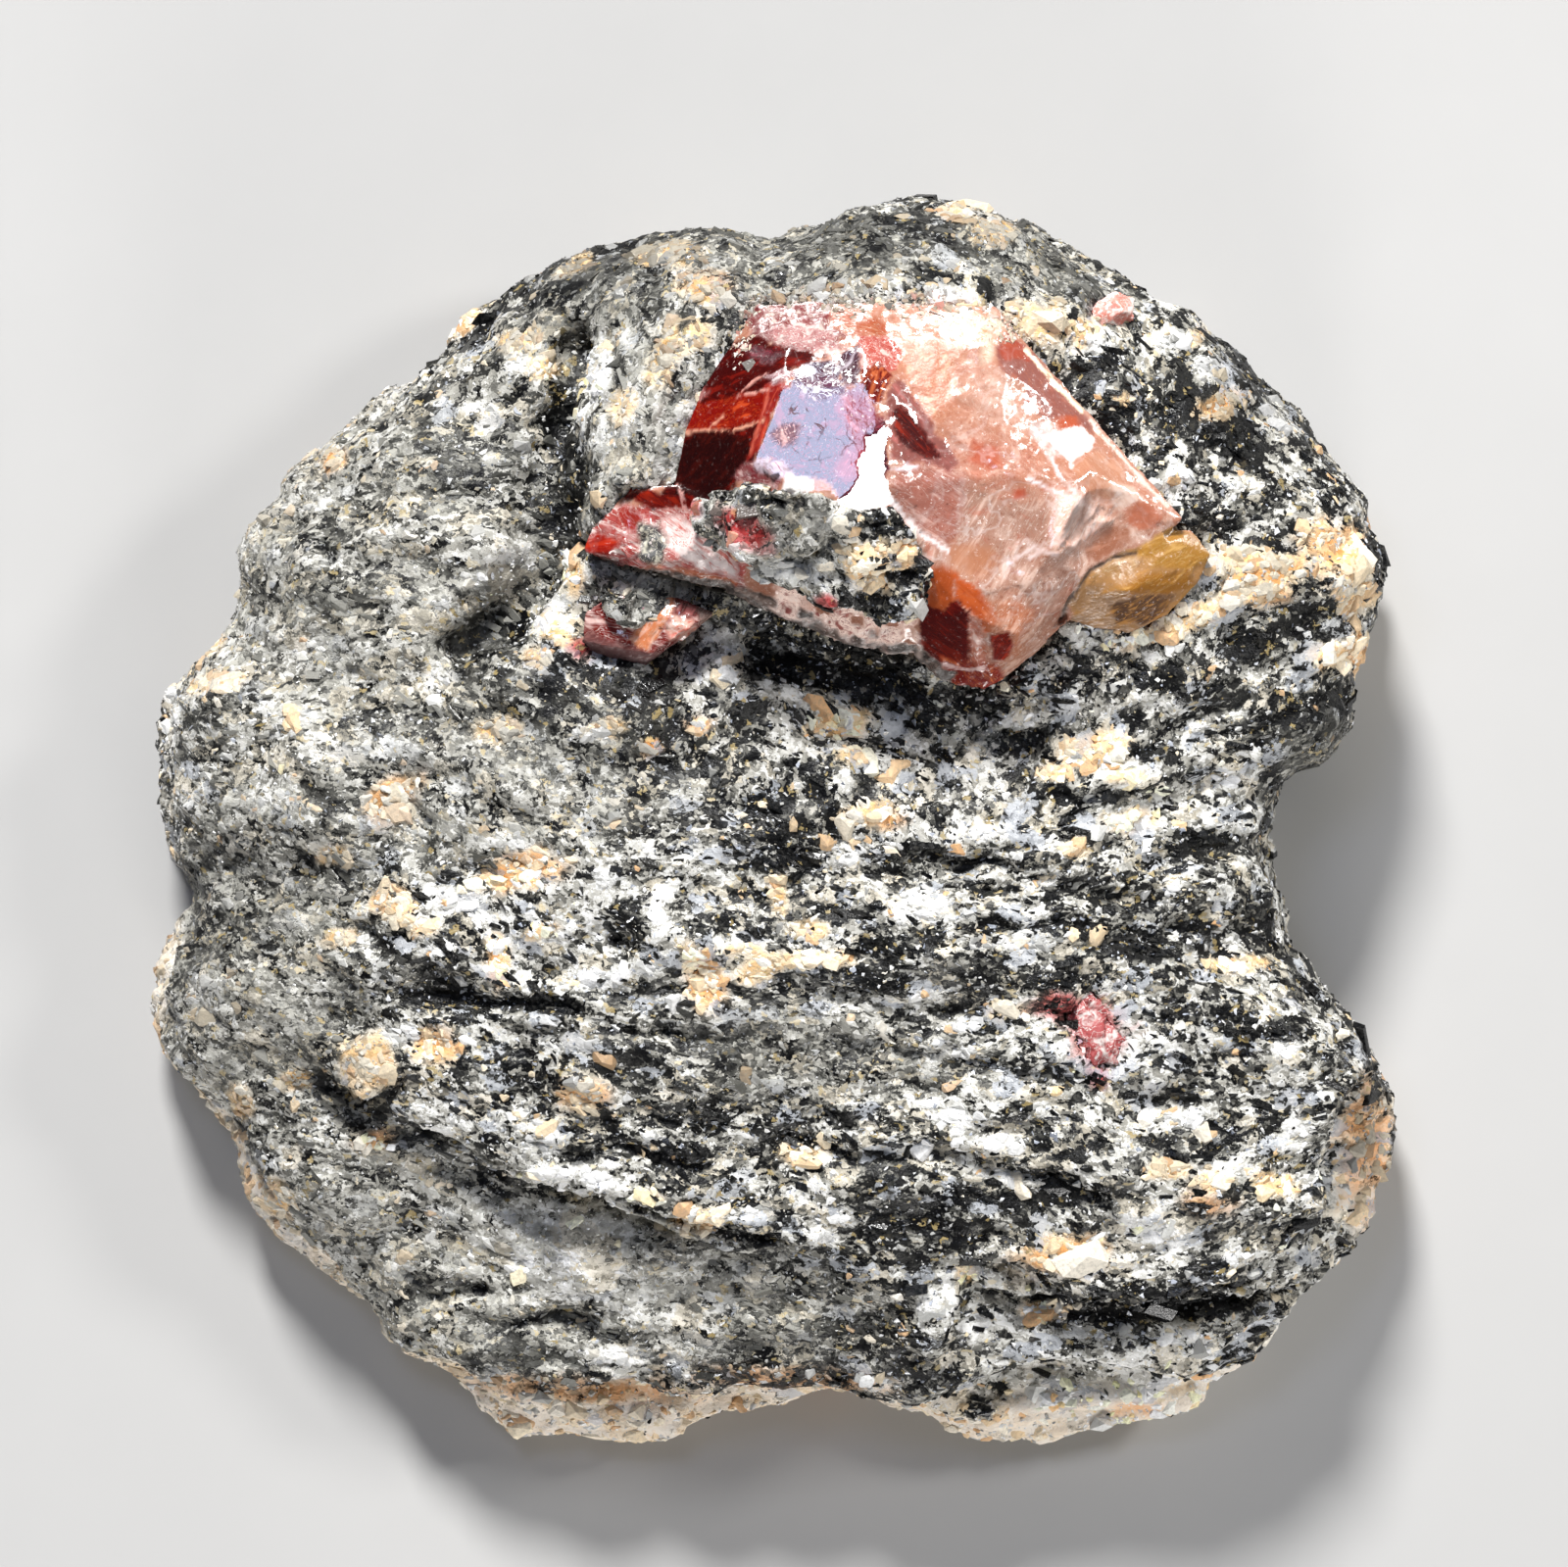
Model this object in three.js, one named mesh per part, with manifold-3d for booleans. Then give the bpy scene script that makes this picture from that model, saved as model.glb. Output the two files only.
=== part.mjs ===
// Zircon crystal specimen: a red-brown zircon crystal standing out of a slab of biotite gneiss.
// The slab lies on its flat back. Millimetres, +Z up, origin at the middle of the flat base.
import * as THREE from "three";
import { ConvexGeometry } from "three/addons/geometries/ConvexGeometry.js";
import { mergeVertices } from "three/addons/utils/BufferGeometryUtils.js";
import Module from "manifold-3d";

const wasm = await Module();
wasm.setup();

// ---- Driving dimensions ----
const PLATEAU_HEIGHT = 15.5; // top face of the slab at its middle
const GAP = 0.4; // play between a crystal and its pocket, measured along an axis
const RINGS = 25; // rings of triangles across the top face
const FLOOR_RINGS = 18; // the same across the floors of the scars
const PALE_LAYER_TOP = 4.6; // the feldspar-rich layer at the back of the slab

// Widest outline of the slab, seen from above, anticlockwise from the north.
const OUTLINE = [
  [2.9, 28.7], [-0.4, 28.0], [-2.2, 28.5], [-5.0, 28.3], [-7.8, 27.9], [-10.6, 26.5],
  [-14.3, 24.4], [-15.7, 22.6], [-21.8, 18.1], [-25.3, 14.0], [-26.0, 12.1], [-25.7, 10.0],
  [-26.7, 8.4], [-29.4, 6.5], [-29.7, 4.4], [-29.6, 1.9], [-29.0, -1.4], [-27.8, -3.0],
  [-29.2, -6.3], [-30.0, -9.1], [-29.2, -11.4], [-27.8, -12.6], [-26.2, -14.4], [-25.5, -16.3],
  [-24.8, -18.6], [-23.4, -20.2], [-21.8, -21.4], [-19.4, -23.3], [-18.3, -25.3], [-15.0, -26.7],
  [-13.9, -28.4], [-12.0, -29.7], [-9.9, -29.4], [-7.8, -29.9], [-4.8, -29.5], [-3.2, -28.6],
  [0.1, -28.1], [2.2, -27.7], [7.8, -28.6], [8.9, -29.5], [12.2, -30.0], [16.4, -29.1],
  [19.9, -28.4], [20.6, -27.4], [24.0, -24.9], [24.4, -23.3], [27.3, -20.9], [28.5, -19.1],
  [29.3, -16.7], [30.0, -14.4], [29.4, -12.1], [27.1, -8.8], [24.7, -5.6], [24.7, -4.0],
  [23.7, -1.4], [24.0, 0.5], [24.5, 2.1], [26.4, 3.0], [27.7, 4.7], [27.8, 7.0],
  [28.4, 8.4], [28.6, 10.7], [29.5, 12.0], [29.3, 13.4], [28.4, 14.4], [28.6, 16.0],
  [26.6, 17.7], [25.4, 19.3], [23.3, 21.6], [20.8, 23.8], [17.3, 25.6], [15.4, 26.9],
  [12.0, 28.7], [9.9, 29.4], [7.5, 30.0], [6.1, 29.8],
];

// Height of the slab's rim every 45 degrees, anticlockwise from the east.
const RIM_HEIGHTS = [12.5, 13.0, 13.6, 10.0, 8.0, 8.0, 9.0, 11.0];

// Side of the slab below the rim: share of the outline's radius, share of the rim's height.
const WALL = [
  [0.985, 0.82],
  [0.995, 0.62],
  [1.0, 0.42],
  [0.985, 0.24],
  [0.96, 0.1],
  [0.925, 0],
];
const WALL_JAG = 0.028; // how far the side steps in and out, as a share of the radius
const RIM_SHARE = 0.965;

// Swellings (+) and hollows (-) of the top face: centre, half lengths, turn in degrees, height.
const RELIEF = [
  { at: [6, 16], half: [13, 8.5], turn: -20, height: 2.6 }, // mound that holds the crystal
  { at: [-6.0, 19.4], half: [2.6, 4.8], turn: -24, height: 3.8 }, // collar west of the crystal
  { at: [4.6, 25.2], half: [8.5, 2.4], turn: -3, height: 5.0 }, // collar north of the crystal
  { at: [16.0, 20.5], half: [5.5, 3.0], turn: -46, height: 1.8 }, // shoulder along its east edge
  { at: [3.4, 6.4], half: [8.2, 1.9], turn: -18, height: -3.0 }, // hollow under its south face
  { at: [-10.6, 17.5], half: [1.1, 6.0], turn: -12, height: -2.2 }, // groove west of the collar
  { at: [-13.8, 9.2], half: [1.3, 4.6], turn: -42, height: -2.0 }, // groove, lower stretch
  { at: [-18.5, 15.5], half: [5.5, 3.6], turn: 40, height: 1.2 }, // smooth north-west shoulder
  { at: [-1.5, -2.5], half: [15, 4.5], turn: -4, height: 0.9 }, // swell across the middle
  { at: [-22.5, 3.0], half: [4.5, 3.5], turn: 10, height: 1.0 }, // west swell
  { at: [-19.4, -11.4], half: [1.6, 1.5], turn: 0, height: 1.5 }, // feldspar knob
  { at: [-21.5, -13.4], half: [3.2, 1.0], turn: -35, height: -1.3 }, // groove round the knob
  { at: [-11.2, -15.0], half: [2.4, 1.2], turn: -20, height: 0.8 }, // quartz cluster on the lip
  { at: [20.2, -17.2], half: [6.5, 2.6], turn: -8, height: 1.5 }, // ridge above the east crack
  { at: [22.6, 11.6], half: [4.4, 1.5], turn: 8, height: 1.1 }, // feldspar vein
  { at: [27.4, 11.2], half: [1.2, 1.6], turn: 0, height: 1.6 }, // feldspar block at the vein's end
  { at: [27.3, 7.9], half: [1.0, 1.2], turn: 0, height: 1.2 }, // feldspar ball
  { at: [13.6, 23.8], half: [1.7, 1.0], turn: 20, height: 1.5 }, // feldspar lumps by the crystal
  { at: [15.6, 2.6], half: [3.0, 1.8], turn: -8, height: 0.7 }, // feldspar cluster
  { at: [-2.0, -7.2], half: [2.2, 1.2], turn: -25, height: 0.6 }, // stained feldspar cluster
  { at: [21.5, 19.4], half: [1.6, 1.2], turn: 0, height: 0.7 }, // feldspar lump
];

// Scars of broken flakes. The wall follows lip; the floor is a plane through the point at,
// rising by slope per millimetre east and north; undercut is how far the wall leans under the lip.
const SCARS = [
  {
    // south-west scar, under a thin overhanging sheet
    lip: [[-20.6, -13.6], [-17.4, -14.2], [-14.8, -15.3], [-12.0, -16.2], [-10.4, -17.3], [-8.2, -17.6],
      [-6.6, -18.9], [-4.1, -19.6], [-2.0, -20.5], [0.6, -20.2], [2.4, -21.2]],
    outside: [[3.5, -24.5], [2.0, -36.0], [-22.0, -36.0], [-36.0, -22.0], [-33.0, -15.0]],
    at: [-6.0, -19.0, 10.9],
    slope: [0.16, 0.34],
    undercut: 0.9,
  },
  {
    // deep crack scar in the south-east
    lip: [[9.8, -20.6], [12.4, -20.8], [14.0, -22.2], [16.2, -22.4], [18.2, -23.2], [20.4, -22.4],
      [22.4, -22.6], [25.7, -21.6], [28.0, -22.4]],
    outside: [[38.0, -24.0], [36.0, -36.0], [8.0, -36.0], [7.4, -26.0]],
    at: [18.0, -22.8, 9.4],
    slope: [-0.2, 0.3],
    undercut: 1.3,
  },
  {
    // east scar, where the pale layer bulges out from behind
    lip: [[26.4, -22.6], [25.4, -20.6], [26.1, -18.4], [25.9, -16.4], [26.7, -14.0], [27.6, -12.2],
      [30.0, -11.6]],
    outside: [[36.0, -9.0], [40.0, -16.0], [36.0, -26.0]],
    at: [27.0, -16.0, 7.6],
    slope: [-0.35, 0.1],
    undercut: 0.5,
  },
  {
    // south edge, where the pale layer sticks out as a shelf
    lip: [[-20.5, -24.3], [-18.0, -25.0], [-14.3, -26.8], [-12.4, -26.2], [-10.0, -26.9], [-6.9, -26.3],
      [-4.4, -27.3], [-1.3, -26.9], [2.0, -27.1], [5.2, -28.0], [8.0, -27.2], [10.3, -26.2],
      [13.0, -25.3], [16.8, -25.8], [20.0, -26.6], [23.3, -25.6]],
    outside: [[34.0, -27.0], [24.0, -38.0], [-22.0, -38.0], [-34.0, -26.0]],
    at: [0, -28.0, PALE_LAYER_TOP],
    slope: [0.0, 0.12],
    undercut: 0.7,
  },
];

// ---- Zircon crystal: corners of the convex bodies that it is made of ----
const WEST_BODY = [
  // flat top facet, the one that mirrors the light
  [0.4, 20.1, 23.7], [2.4, 21.0, 23.8], [4.3, 20.3, 24.1], [5.2, 18.3, 24.4],
  [5.0, 16.7, 24.6], [3.2, 15.0, 24.6], [0.7, 15.7, 24.3], [-0.3, 17.5, 24.0],
  // west facets
  [-4.6, 15.9, 17.6], [-4.0, 18.6, 18.0], [-3.2, 20.5, 18.4], [-1.8, 21.4, 20.3], [-1.3, 23.0, 18.8],
  // north edge
  [-0.7, 24.3, 18.6], [5.0, 24.4, 19.2], [6.4, 21.4, 21.4], [0.6, 22.6, 21.4],
  // foot of the step down to the broad face
  [8.3, 16.8, 22.0], [7.4, 12.6, 21.8],
  // south face, under the crust of rock
  [6.2, 9.8, 19.9], [3.2, 10.3, 20.3], [-0.7, 11.7, 20.2], [-3.2, 13.2, 19.6],
  [6.4, 7.9, 17.0], [3.2, 8.6, 17.2], [0.7, 9.8, 17.4], [-2.1, 10.8, 17.6],
  // foot, inside the pocket
  [6.4, 8.4, 12.5], [-2.1, 11.3, 12.5], [-4.2, 15.4, 11.5], [-3.6, 18.6, 11.5], [0.2, 24.0, 11.0],
  [1.0, 12.5, 9.0], [7.0, 12.5, 9.0], [4.0, 21.0, 9.0],
];
const EAST_BODY = [
  // north edge and the long straight east edge
  [4.2, 24.4, 19.2], [10.4, 24.2, 19.3], [19.3, 14.3, 17.8],
  // ridge between the broad face and the east prism face
  [6.0, 22.0, 21.4], [10.0, 22.3, 21.3], [13.7, 17.1, 21.9], [15.1, 14.0, 21.0],
  // broad face
  [7.8, 16.8, 23.1], [8.9, 14.6, 23.1], [12.1, 12.3, 21.9], [5.0, 15.0, 22.5],
  // smooth face at the south tip
  [13.5, 10.1, 19.4], [11.5, 8.8, 20.0], [9.0, 9.9, 21.0], [7.4, 11.9, 21.7],
  // south tip
  [13.6, 9.6, 17.0], [11.2, 7.0, 16.6], [10.0, 6.3, 16.4], [8.3, 6.6, 16.4], [7.0, 7.5, 16.8],
  [6.0, 9.0, 18.4],
  // foot, inside the pocket
  [10.0, 7.0, 12.5], [13.2, 9.8, 12.5], [18.2, 14.2, 12.0], [10.4, 23.8, 11.5], [5.0, 23.8, 11.5],
  [6.0, 10.0, 10.0], [12.0, 12.5, 9.0], [10.0, 20.0, 9.0],
];
const WEST_ARM = [
  [-8.9, 12.8, 16.2], [-8.5, 13.9, 16.5], [-6.7, 15.8, 17.2], [-4.4, 15.9, 18.4], [-2.4, 15.0, 20.8],
  [-3.6, 13.3, 20.0], [-7.0, 12.9, 17.6], [-5.7, 11.8, 17.4], [-3.9, 11.4, 17.6], [-1.8, 11.0, 18.2],
  [0, 13.8, 21.8],
  [-8.3, 13.1, 12.2], [-6.2, 12.2, 12.2], [-2.4, 11.4, 12.4], [-4.0, 15.2, 12.0], [0, 12.5, 12.0],
];
const EAST_END = [
  [13.6, 9.7, 16.6], [15.2, 9.2, 16.2], [16.8, 9.0, 15.8], [18.6, 9.8, 15.8], [20.1, 11.4, 16.0],
  [20.7, 12.7, 16.2], [19.7, 13.8, 16.8], [18.9, 13.3, 17.8], [14.9, 13.8, 19.3], [14.5, 11.6, 19.0],
  [16.8, 11.0, 18.9], [13.9, 10.4, 18.2],
  [14.3, 10.4, 11.5], [18.4, 10.8, 11.5], [19.6, 12.6, 11.5], [15.6, 12.8, 11.5],
];
// Shell-shaped fracture scoops: centre and radius of the ball that each follows.
const SCOOPS = [
  { at: [10.6, 19.8, 34.9], radius: 13 },
  { at: [16.1, 20.9, 27.6], radius: 8 },
  { at: [11.0, 11.2, 33.1], radius: 11.8 },
  { at: [14.2, 7.0, 21.0], radius: 3.2 },
  { at: [2.2, 25.4, 27.0], radius: 6.2 },
  { at: [-6.0, 20.4, 26.0], radius: 6.4 },
  { at: [-6.4, 14.0, 20.5], radius: 3.0 },
  { at: [18.2, 12.2, 24.0], radius: 5.6 },
];
// Open crack that sets the honey-brown east end apart.
const CRACK = [[12.9, 8.6], [14.0, 10.1], [14.3, 11.6], [15.0, 12.7], [16.6, 13.6], [18.4, 13.7]];
const CRACK_WIDTH = 0.28;
const CRACK_FLOOR = 16.4;

const SIDE_CRYSTAL = [
  [-8.7, 10.0, 15.6], [-8.9, 8.6, 15.2], [-8.3, 7.7, 13.8], [-6.2, 7.2, 13.9], [-5.7, 8.0, 16.2],
  [-3.9, 9.2, 17.0], [-2.7, 9.9, 16.4], [-4.4, 10.6, 16.4], [-7.4, 10.7, 16.0],
  [-8.4, 9.9, 11.2], [-8.0, 8.3, 11.2], [-5.6, 8.0, 11.2], [-3.2, 9.6, 11.6], [-5.0, 10.4, 11.2],
];

// Small zircons level with the rock: centre, half length, half width, turn, height above the rock.
const SMALL_CRYSTALS = {
  zircon_small_north: { at: [15.9, 24.1], half: [1.45, 0.8], turn: 32, proud: 0.7, depth: 1.3 },
  zircon_small_south: { at: [15.0, -9.8], half: [2.2, 1.15], turn: -52, proud: 0.45, depth: 2.4 },
};

// Rock that still sticks to the crystals: outlines seen from above.
const CRUST_OUTLINE = [
  [-4.1, 15.1], [-2.1, 15.9], [-0.7, 15.7], [0.7, 15.3], [2.3, 15.3], [3.1, 14.2], [4.3, 14.4], [5.7, 14.8],
  [6.8, 13.5], [7.3, 12.1], [7.2, 10.7], [7.0, 9.6], [5.0, 9.4], [3.2, 10.0], [1.5, 10.5], [-0.7, 11.2],
  [-1.8, 11.9], [-3.4, 13.3],
];
const SIDE_CRUST_OUTLINE = [
  [-8.9, 10.9], [-7.0, 11.6], [-4.6, 11.4], [-4.2, 10.5], [-5.4, 9.4], [-6.4, 9.0], [-7.9, 9.6],
];
const CRUST_THICKNESS = 1.0;
// Angular grains that stand out of the crusts: centre and half width.
const CRUST_GRAINS = [
  [-3.0, 14.2, 20.2, 1.3], [-0.8, 14.1, 22.4, 1.9], [1.8, 13.6, 23.2, 1.5], [4.4, 13.0, 23.0, 1.9],
  [6.2, 13.0, 22.4, 1.2], [0.4, 12.0, 21.2, 1.6], [3.0, 11.2, 21.6, 1.8], [5.9, 11.0, 21.4, 1.7],
  [5.2, 9.9, 20.3, 1.2],
];
const SIDE_GRAINS = [[-7.7, 10.5, 16.3, 1.0], [-5.6, 10.6, 16.6, 1.3]];

// ---- Small tools ----
const clamp = (v, low, high) => Math.min(high, Math.max(low, v));
const mix = (a, b, t) => a + (b - a) * t;
const radians = THREE.MathUtils.degToRad;

// Repeatable noise in -1..1 that varies over about one unit.
function latticeValue(x, y, z) {
  const s = Math.sin(x * 127.1 + y * 311.7 + z * 74.7) * 43758.5453;
  return (s - Math.floor(s)) * 2 - 1;
}

function noise(x, y, z) {
  const cell = [x, y, z].map(Math.floor);
  const part = [x - cell[0], y - cell[1], z - cell[2]].map((t) => t * t * (3 - 2 * t));
  let sum = 0;
  for (let corner = 0; corner < 8; corner++) {
    const bits = [corner & 1, (corner >> 1) & 1, (corner >> 2) & 1];
    const weight = bits.reduce((w, b, i) => w * (b ? part[i] : 1 - part[i]), 1);
    sum += weight * latticeValue(cell[0] + bits[0], cell[1] + bits[1], cell[2] + bits[2]);
  }
  return sum;
}

// Distance from the middle of the slab to its outline in one direction.
function outlineRadius(angle) {
  const [dx, dy] = [Math.cos(angle), Math.sin(angle)];
  for (let i = 0; i < OUTLINE.length; i++) {
    const [ax, ay] = OUTLINE[i];
    const [bx, by] = OUTLINE[(i + 1) % OUTLINE.length];
    const [ex, ey] = [bx - ax, by - ay];
    const cross = dx * ey - dy * ex;
    const along = (ax * ey - ay * ex) / cross;
    const share = (ax * dy - ay * dx) / cross;
    if (along > 0 && share >= 0 && share <= 1) return along;
  }
  throw new Error("the outline doesn't go round the middle");
}

function rimHeight(angle) {
  const step = ((angle / (2 * Math.PI)) * 8 + 8) % 8;
  const low = Math.floor(step);
  const t = step - low;
  return mix(RIM_HEIGHTS[low], RIM_HEIGHTS[(low + 1) % 8], t * t * (3 - 2 * t));
}

function reliefAt(x, y) {
  let sum = 0;
  for (const { at, half, turn, height } of RELIEF) {
    const [c, s] = [Math.cos(radians(turn)), Math.sin(radians(turn))];
    const [dx, dy] = [x - at[0], y - at[1]];
    const u = (dx * c + dy * s) / half[0];
    const v = (dy * c - dx * s) / half[1];
    sum += height * Math.exp(-(u * u + v * v));
  }
  return sum;
}

// Height of the unbroken top face.
function topHeight(x, y) {
  const angle = Math.atan2(y, x);
  const reach = clamp(Math.hypot(x, y) / (outlineRadius(angle) * RIM_SHARE), 0, 1);
  const dome = mix(PLATEAU_HEIGHT, rimHeight(angle), reach ** 2.6);
  const edge = 1.4 * clamp((reach - 0.9) / 0.1, 0, 1) ** 2;
  const rough = 0.55 * noise(x / 4.2, y / 3.0, 1) + 0.4 * noise(x / 1.9, y / 1.3, 7) + 0.25 * noise(x, y, 3);
  return dome - edge + reliefAt(x, y) * (1 - 0.6 * reach ** 6) + rough;
}

// ---- Solids ----
function geometryFrom(vertices, faces) {
  const geometry = new THREE.BufferGeometry();
  geometry.setAttribute("position", new THREE.Float32BufferAttribute(vertices.flat(), 3));
  return geometry.setIndex(faces.flat());
}

function solidOf(geometry) {
  const bare = new THREE.BufferGeometry().setAttribute("position", geometry.getAttribute("position"));
  bare.setIndex(geometry.index);
  const merged = mergeVertices(bare, 1e-4);
  return new wasm.Manifold(
    new wasm.Mesh({
      numProp: 3,
      vertProperties: new Float32Array(merged.attributes.position.array),
      triVerts: new Uint32Array(merged.index.array),
    }),
  );
}

function geometryOf(solid) {
  const mesh = solid.getMesh();
  const places = new Float32Array(mesh.numVert * 3);
  for (let i = 0; i < mesh.numVert; i++)
    places.set(mesh.vertProperties.subarray(i * mesh.numProp, i * mesh.numProp + 3), i * 3);
  const indexed = new THREE.BufferGeometry();
  indexed.setAttribute("position", new THREE.BufferAttribute(places, 3));
  indexed.setIndex(new THREE.BufferAttribute(mesh.triVerts, 1));
  const flat = indexed.toNonIndexed();
  flat.computeVertexNormals();
  return flat;
}

function hull(points, grow = 0) {
  const corners = [];
  for (const [x, y, z] of points) {
    if (grow === 0) corners.push(new THREE.Vector3(x, y, z));
    for (const side of grow > 0 ? [-grow, grow] : []) {
      corners.push(new THREE.Vector3(x + side, y, z));
      corners.push(new THREE.Vector3(x, y + side, z));
      corners.push(new THREE.Vector3(x, y, z + side));
    }
  }
  return solidOf(new ConvexGeometry(corners));
}

// Upright prism over an outline, from one height to another.
function prism(outline, low, high) {
  const shape = new THREE.Shape(outline.map(([x, y]) => new THREE.Vector2(x, y)));
  const geometry = new THREE.ExtrudeGeometry(shape, { depth: high - low, bevelEnabled: false });
  return solidOf(geometry.translate(0, 0, low));
}

// The slab before anything is broken out of it: a round net of triangles, then walls and a flat base.
function slab(heightAt, rings) {
  const vertices = [[0, 0, heightAt(0, 0)]];
  const faces = [];
  const ringStart = (k) => (k === 0 ? 0 : 1 + 3 * k * (k - 1));
  for (let k = 1; k <= rings; k++)
    for (let i = 0; i < 6 * k; i++) {
      const angle = (i / (6 * k)) * 2 * Math.PI;
      const radius = (outlineRadius(angle) * RIM_SHARE * k) / rings;
      const [x, y] = [radius * Math.cos(angle), radius * Math.sin(angle)];
      vertices.push([x, y, heightAt(x, y)]);
    }
  for (let k = 0; k < rings; k++)
    for (let sector = 0; sector < 6; sector++)
      for (let i = 0; i <= k; i++) {
        const inner = (j) => ringStart(k) + (k === 0 ? 0 : (sector * k + j) % (6 * k));
        const outer = (j) => ringStart(k + 1) + ((sector * (k + 1) + j) % (6 * (k + 1)));
        faces.push([inner(i), outer(i), outer(i + 1)]);
        if (i < k) faces.push([inner(i), outer(i + 1), inner(i + 1)]);
      }
  const around = 6 * rings;
  let upper = ringStart(rings);
  for (const [share, level] of WALL) {
    const lower = vertices.length;
    for (let i = 0; i < around; i++) {
      const angle = (i / around) * 2 * Math.PI;
      const jag = level > 0 ? WALL_JAG * noise(i / 3.1, level * 9, 5) : 0;
      const radius = outlineRadius(angle) * Math.min(1, share + jag);
      const rim = vertices[ringStart(rings) + i][2];
      vertices.push([radius * Math.cos(angle), radius * Math.sin(angle), rim * level]);
    }
    for (let i = 0; i < around; i++) {
      const next = (i + 1) % around;
      faces.push([upper + i, lower + i, lower + next], [upper + i, lower + next, upper + next]);
    }
    upper = lower;
  }
  vertices.push([0, 0, 0]);
  for (let i = 0; i < around; i++) faces.push([upper + ((i + 1) % around), upper + i, vertices.length - 1]);

  return solidOf(geometryFrom(vertices, faces));
}

// What a scar removes: everything above its rough floor, with walls that lean under the lip.
function scarCut({ lip, outside, at, slope, undercut }) {
  const around = [...lip, ...outside];
  const count = around.length;
  const middle = [0, 1].map((axis) => around.reduce((sum, p) => sum + p[axis], 0) / count);
  const floor = (x, y) => at[2] + (x - at[0]) * slope[0] + (y - at[1]) * slope[1];
  const rough = (x, y) => 0.5 * noise(x / 3.1, y / 1.7, 11) + 0.3 * noise(x / 1.3, y, 13);
  const bumpy = (x, y) => Math.max(1, floor(x, y) + rough(x, y));
  const pushed = around.map(([x, y], i) => {
    const reach = Math.hypot(x - middle[0], y - middle[1]);
    const share = i < lip.length ? undercut / reach : 0;
    return [x + (x - middle[0]) * share, y + (y - middle[1]) * share];
  });
  const vertices = [
    ...pushed.map(([x, y]) => [x, y, floor(x, y) - 0.8]),
    ...around.map(([x, y]) => [x, y, floor(x, y) + 1.6 * undercut]),
    ...around.map(([x, y]) => [x, y, 40]),
  ];
  const faces = [];
  const lid = THREE.ShapeUtils.triangulateShape(around.map(([x, y]) => new THREE.Vector2(x, y)), []);
  for (const [a, b, c] of lid) faces.push([c, b, a], [a + 2 * count, b + 2 * count, c + 2 * count]);
  for (const level of [0, count])
    for (let i = 0; i < count; i++) {
      const [here, next] = [level + i, level + ((i + 1) % count)];
      faces.push([here, next + count, next], [here, here + count, next + count]);
    }
  return solidOf(geometryFrom(vertices, faces)).subtract(slab(bumpy, FLOOR_RINGS));
}

function crackCut() {
  const left = CRACK.map(([x, y]) => [x - CRACK_WIDTH / 2, y + CRACK_WIDTH / 2]);
  const right = CRACK.map(([x, y]) => [x + CRACK_WIDTH / 2, y - CRACK_WIDTH / 2]).reverse();
  return prism([...left, ...right], CRACK_FLOOR, 30);
}

const MAIN_BODIES = [WEST_BODY, EAST_BODY, WEST_ARM, EAST_END];

function joined(bodies, grow = 0) {
  return bodies.map((points) => hull(points, grow)).reduce((sum, body) => sum.add(body));
}

function zirconMain() {
  let solid = joined(MAIN_BODIES);
  for (const { at, radius } of SCOOPS) {
    const ball = new THREE.IcosahedronGeometry(radius, 6).translate(...at);
    solid = solid.subtract(solidOf(ball));
  }
  return solid.subtract(crackCut());
}

// A short square prism with low pyramid ends, lying along its length.
function smallCrystalPoints({ at, half, turn, proud, depth }) {
  const [c, s] = [Math.cos(radians(turn)), Math.sin(radians(turn))];
  const level = topHeight(...at);
  const profile = [
    [-1, 0, 0], [1, 0, 0], [-0.62, 1, 0], [0.6, 1, 0], [-0.6, -1, 0], [0.62, -1, 0],
    [-0.5, 0.35, 1], [0.45, 0.4, 0.9], [-0.42, -0.4, 0.85], [0.5, -0.3, 1],
    [-0.6, 0, -1], [0.6, 0, -1],
  ];
  return profile.map(([along, across, up]) => {
    const [u, v] = [along * half[0], across * half[1]];
    const z = up > 0 ? level + up * proud : level - 0.1 + up * depth;
    return [at[0] + u * c - v * s, at[1] + u * s + v * c, z];
  });
}

// An angular block: the hull of seeded points on a flattened ball.
function block([x, y, z, size]) {
  const points = [];
  for (let i = 0; i < 12; i++) {
    const turn = i * 2.4 + 0.5 * latticeValue(i, x, y);
    const up = 1 - (2 * i + 1) / 12;
    const out = size * Math.sqrt(1 - up * up) * (1 + 0.22 * latticeValue(i, y, z));
    points.push([x + out * Math.cos(turn), y + out * Math.sin(turn), z + 0.62 * size * up]);
  }
  return hull(points);
}

function crust(outline, under, grains, clear) {
  const sheet = under.translate([0, 0, CRUST_THICKNESS]);
  const lumpy = grains.map(block).reduce((sum, grain) => sum.add(grain), sheet);
  return prism(outline, 10, 30).intersect(lumpy).subtract(clear);
}

function largestBody(solid) {
  return solid.decompose().sort((a, b) => b.volume() - a.volume())[0];
}

// ---- The specimen ----
const LOOKS = {
  gneiss_matrix: { color: 0x6f6d68, roughness: 0.75 },
  crust_on_main: { color: 0x5c5a54, roughness: 0.8 },
  crust_on_side: { color: 0x75706a, roughness: 0.8 },
  zircon_main: { color: 0x8c2418, roughness: 0.12 },
  zircon_side: { color: 0x93301f, roughness: 0.25 },
  zircon_small_north: { color: 0xb0503f, roughness: 0.35 },
  zircon_small_south: { color: 0x8a2a2c, roughness: 0.3 },
};

function meshOf(name, solid) {
  const material = new THREE.MeshStandardMaterial({ ...LOOKS[name], metalness: 0 });
  const mesh = new THREE.Mesh(geometryOf(solid), material);
  mesh.name = name;
  return mesh;
}

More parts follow.
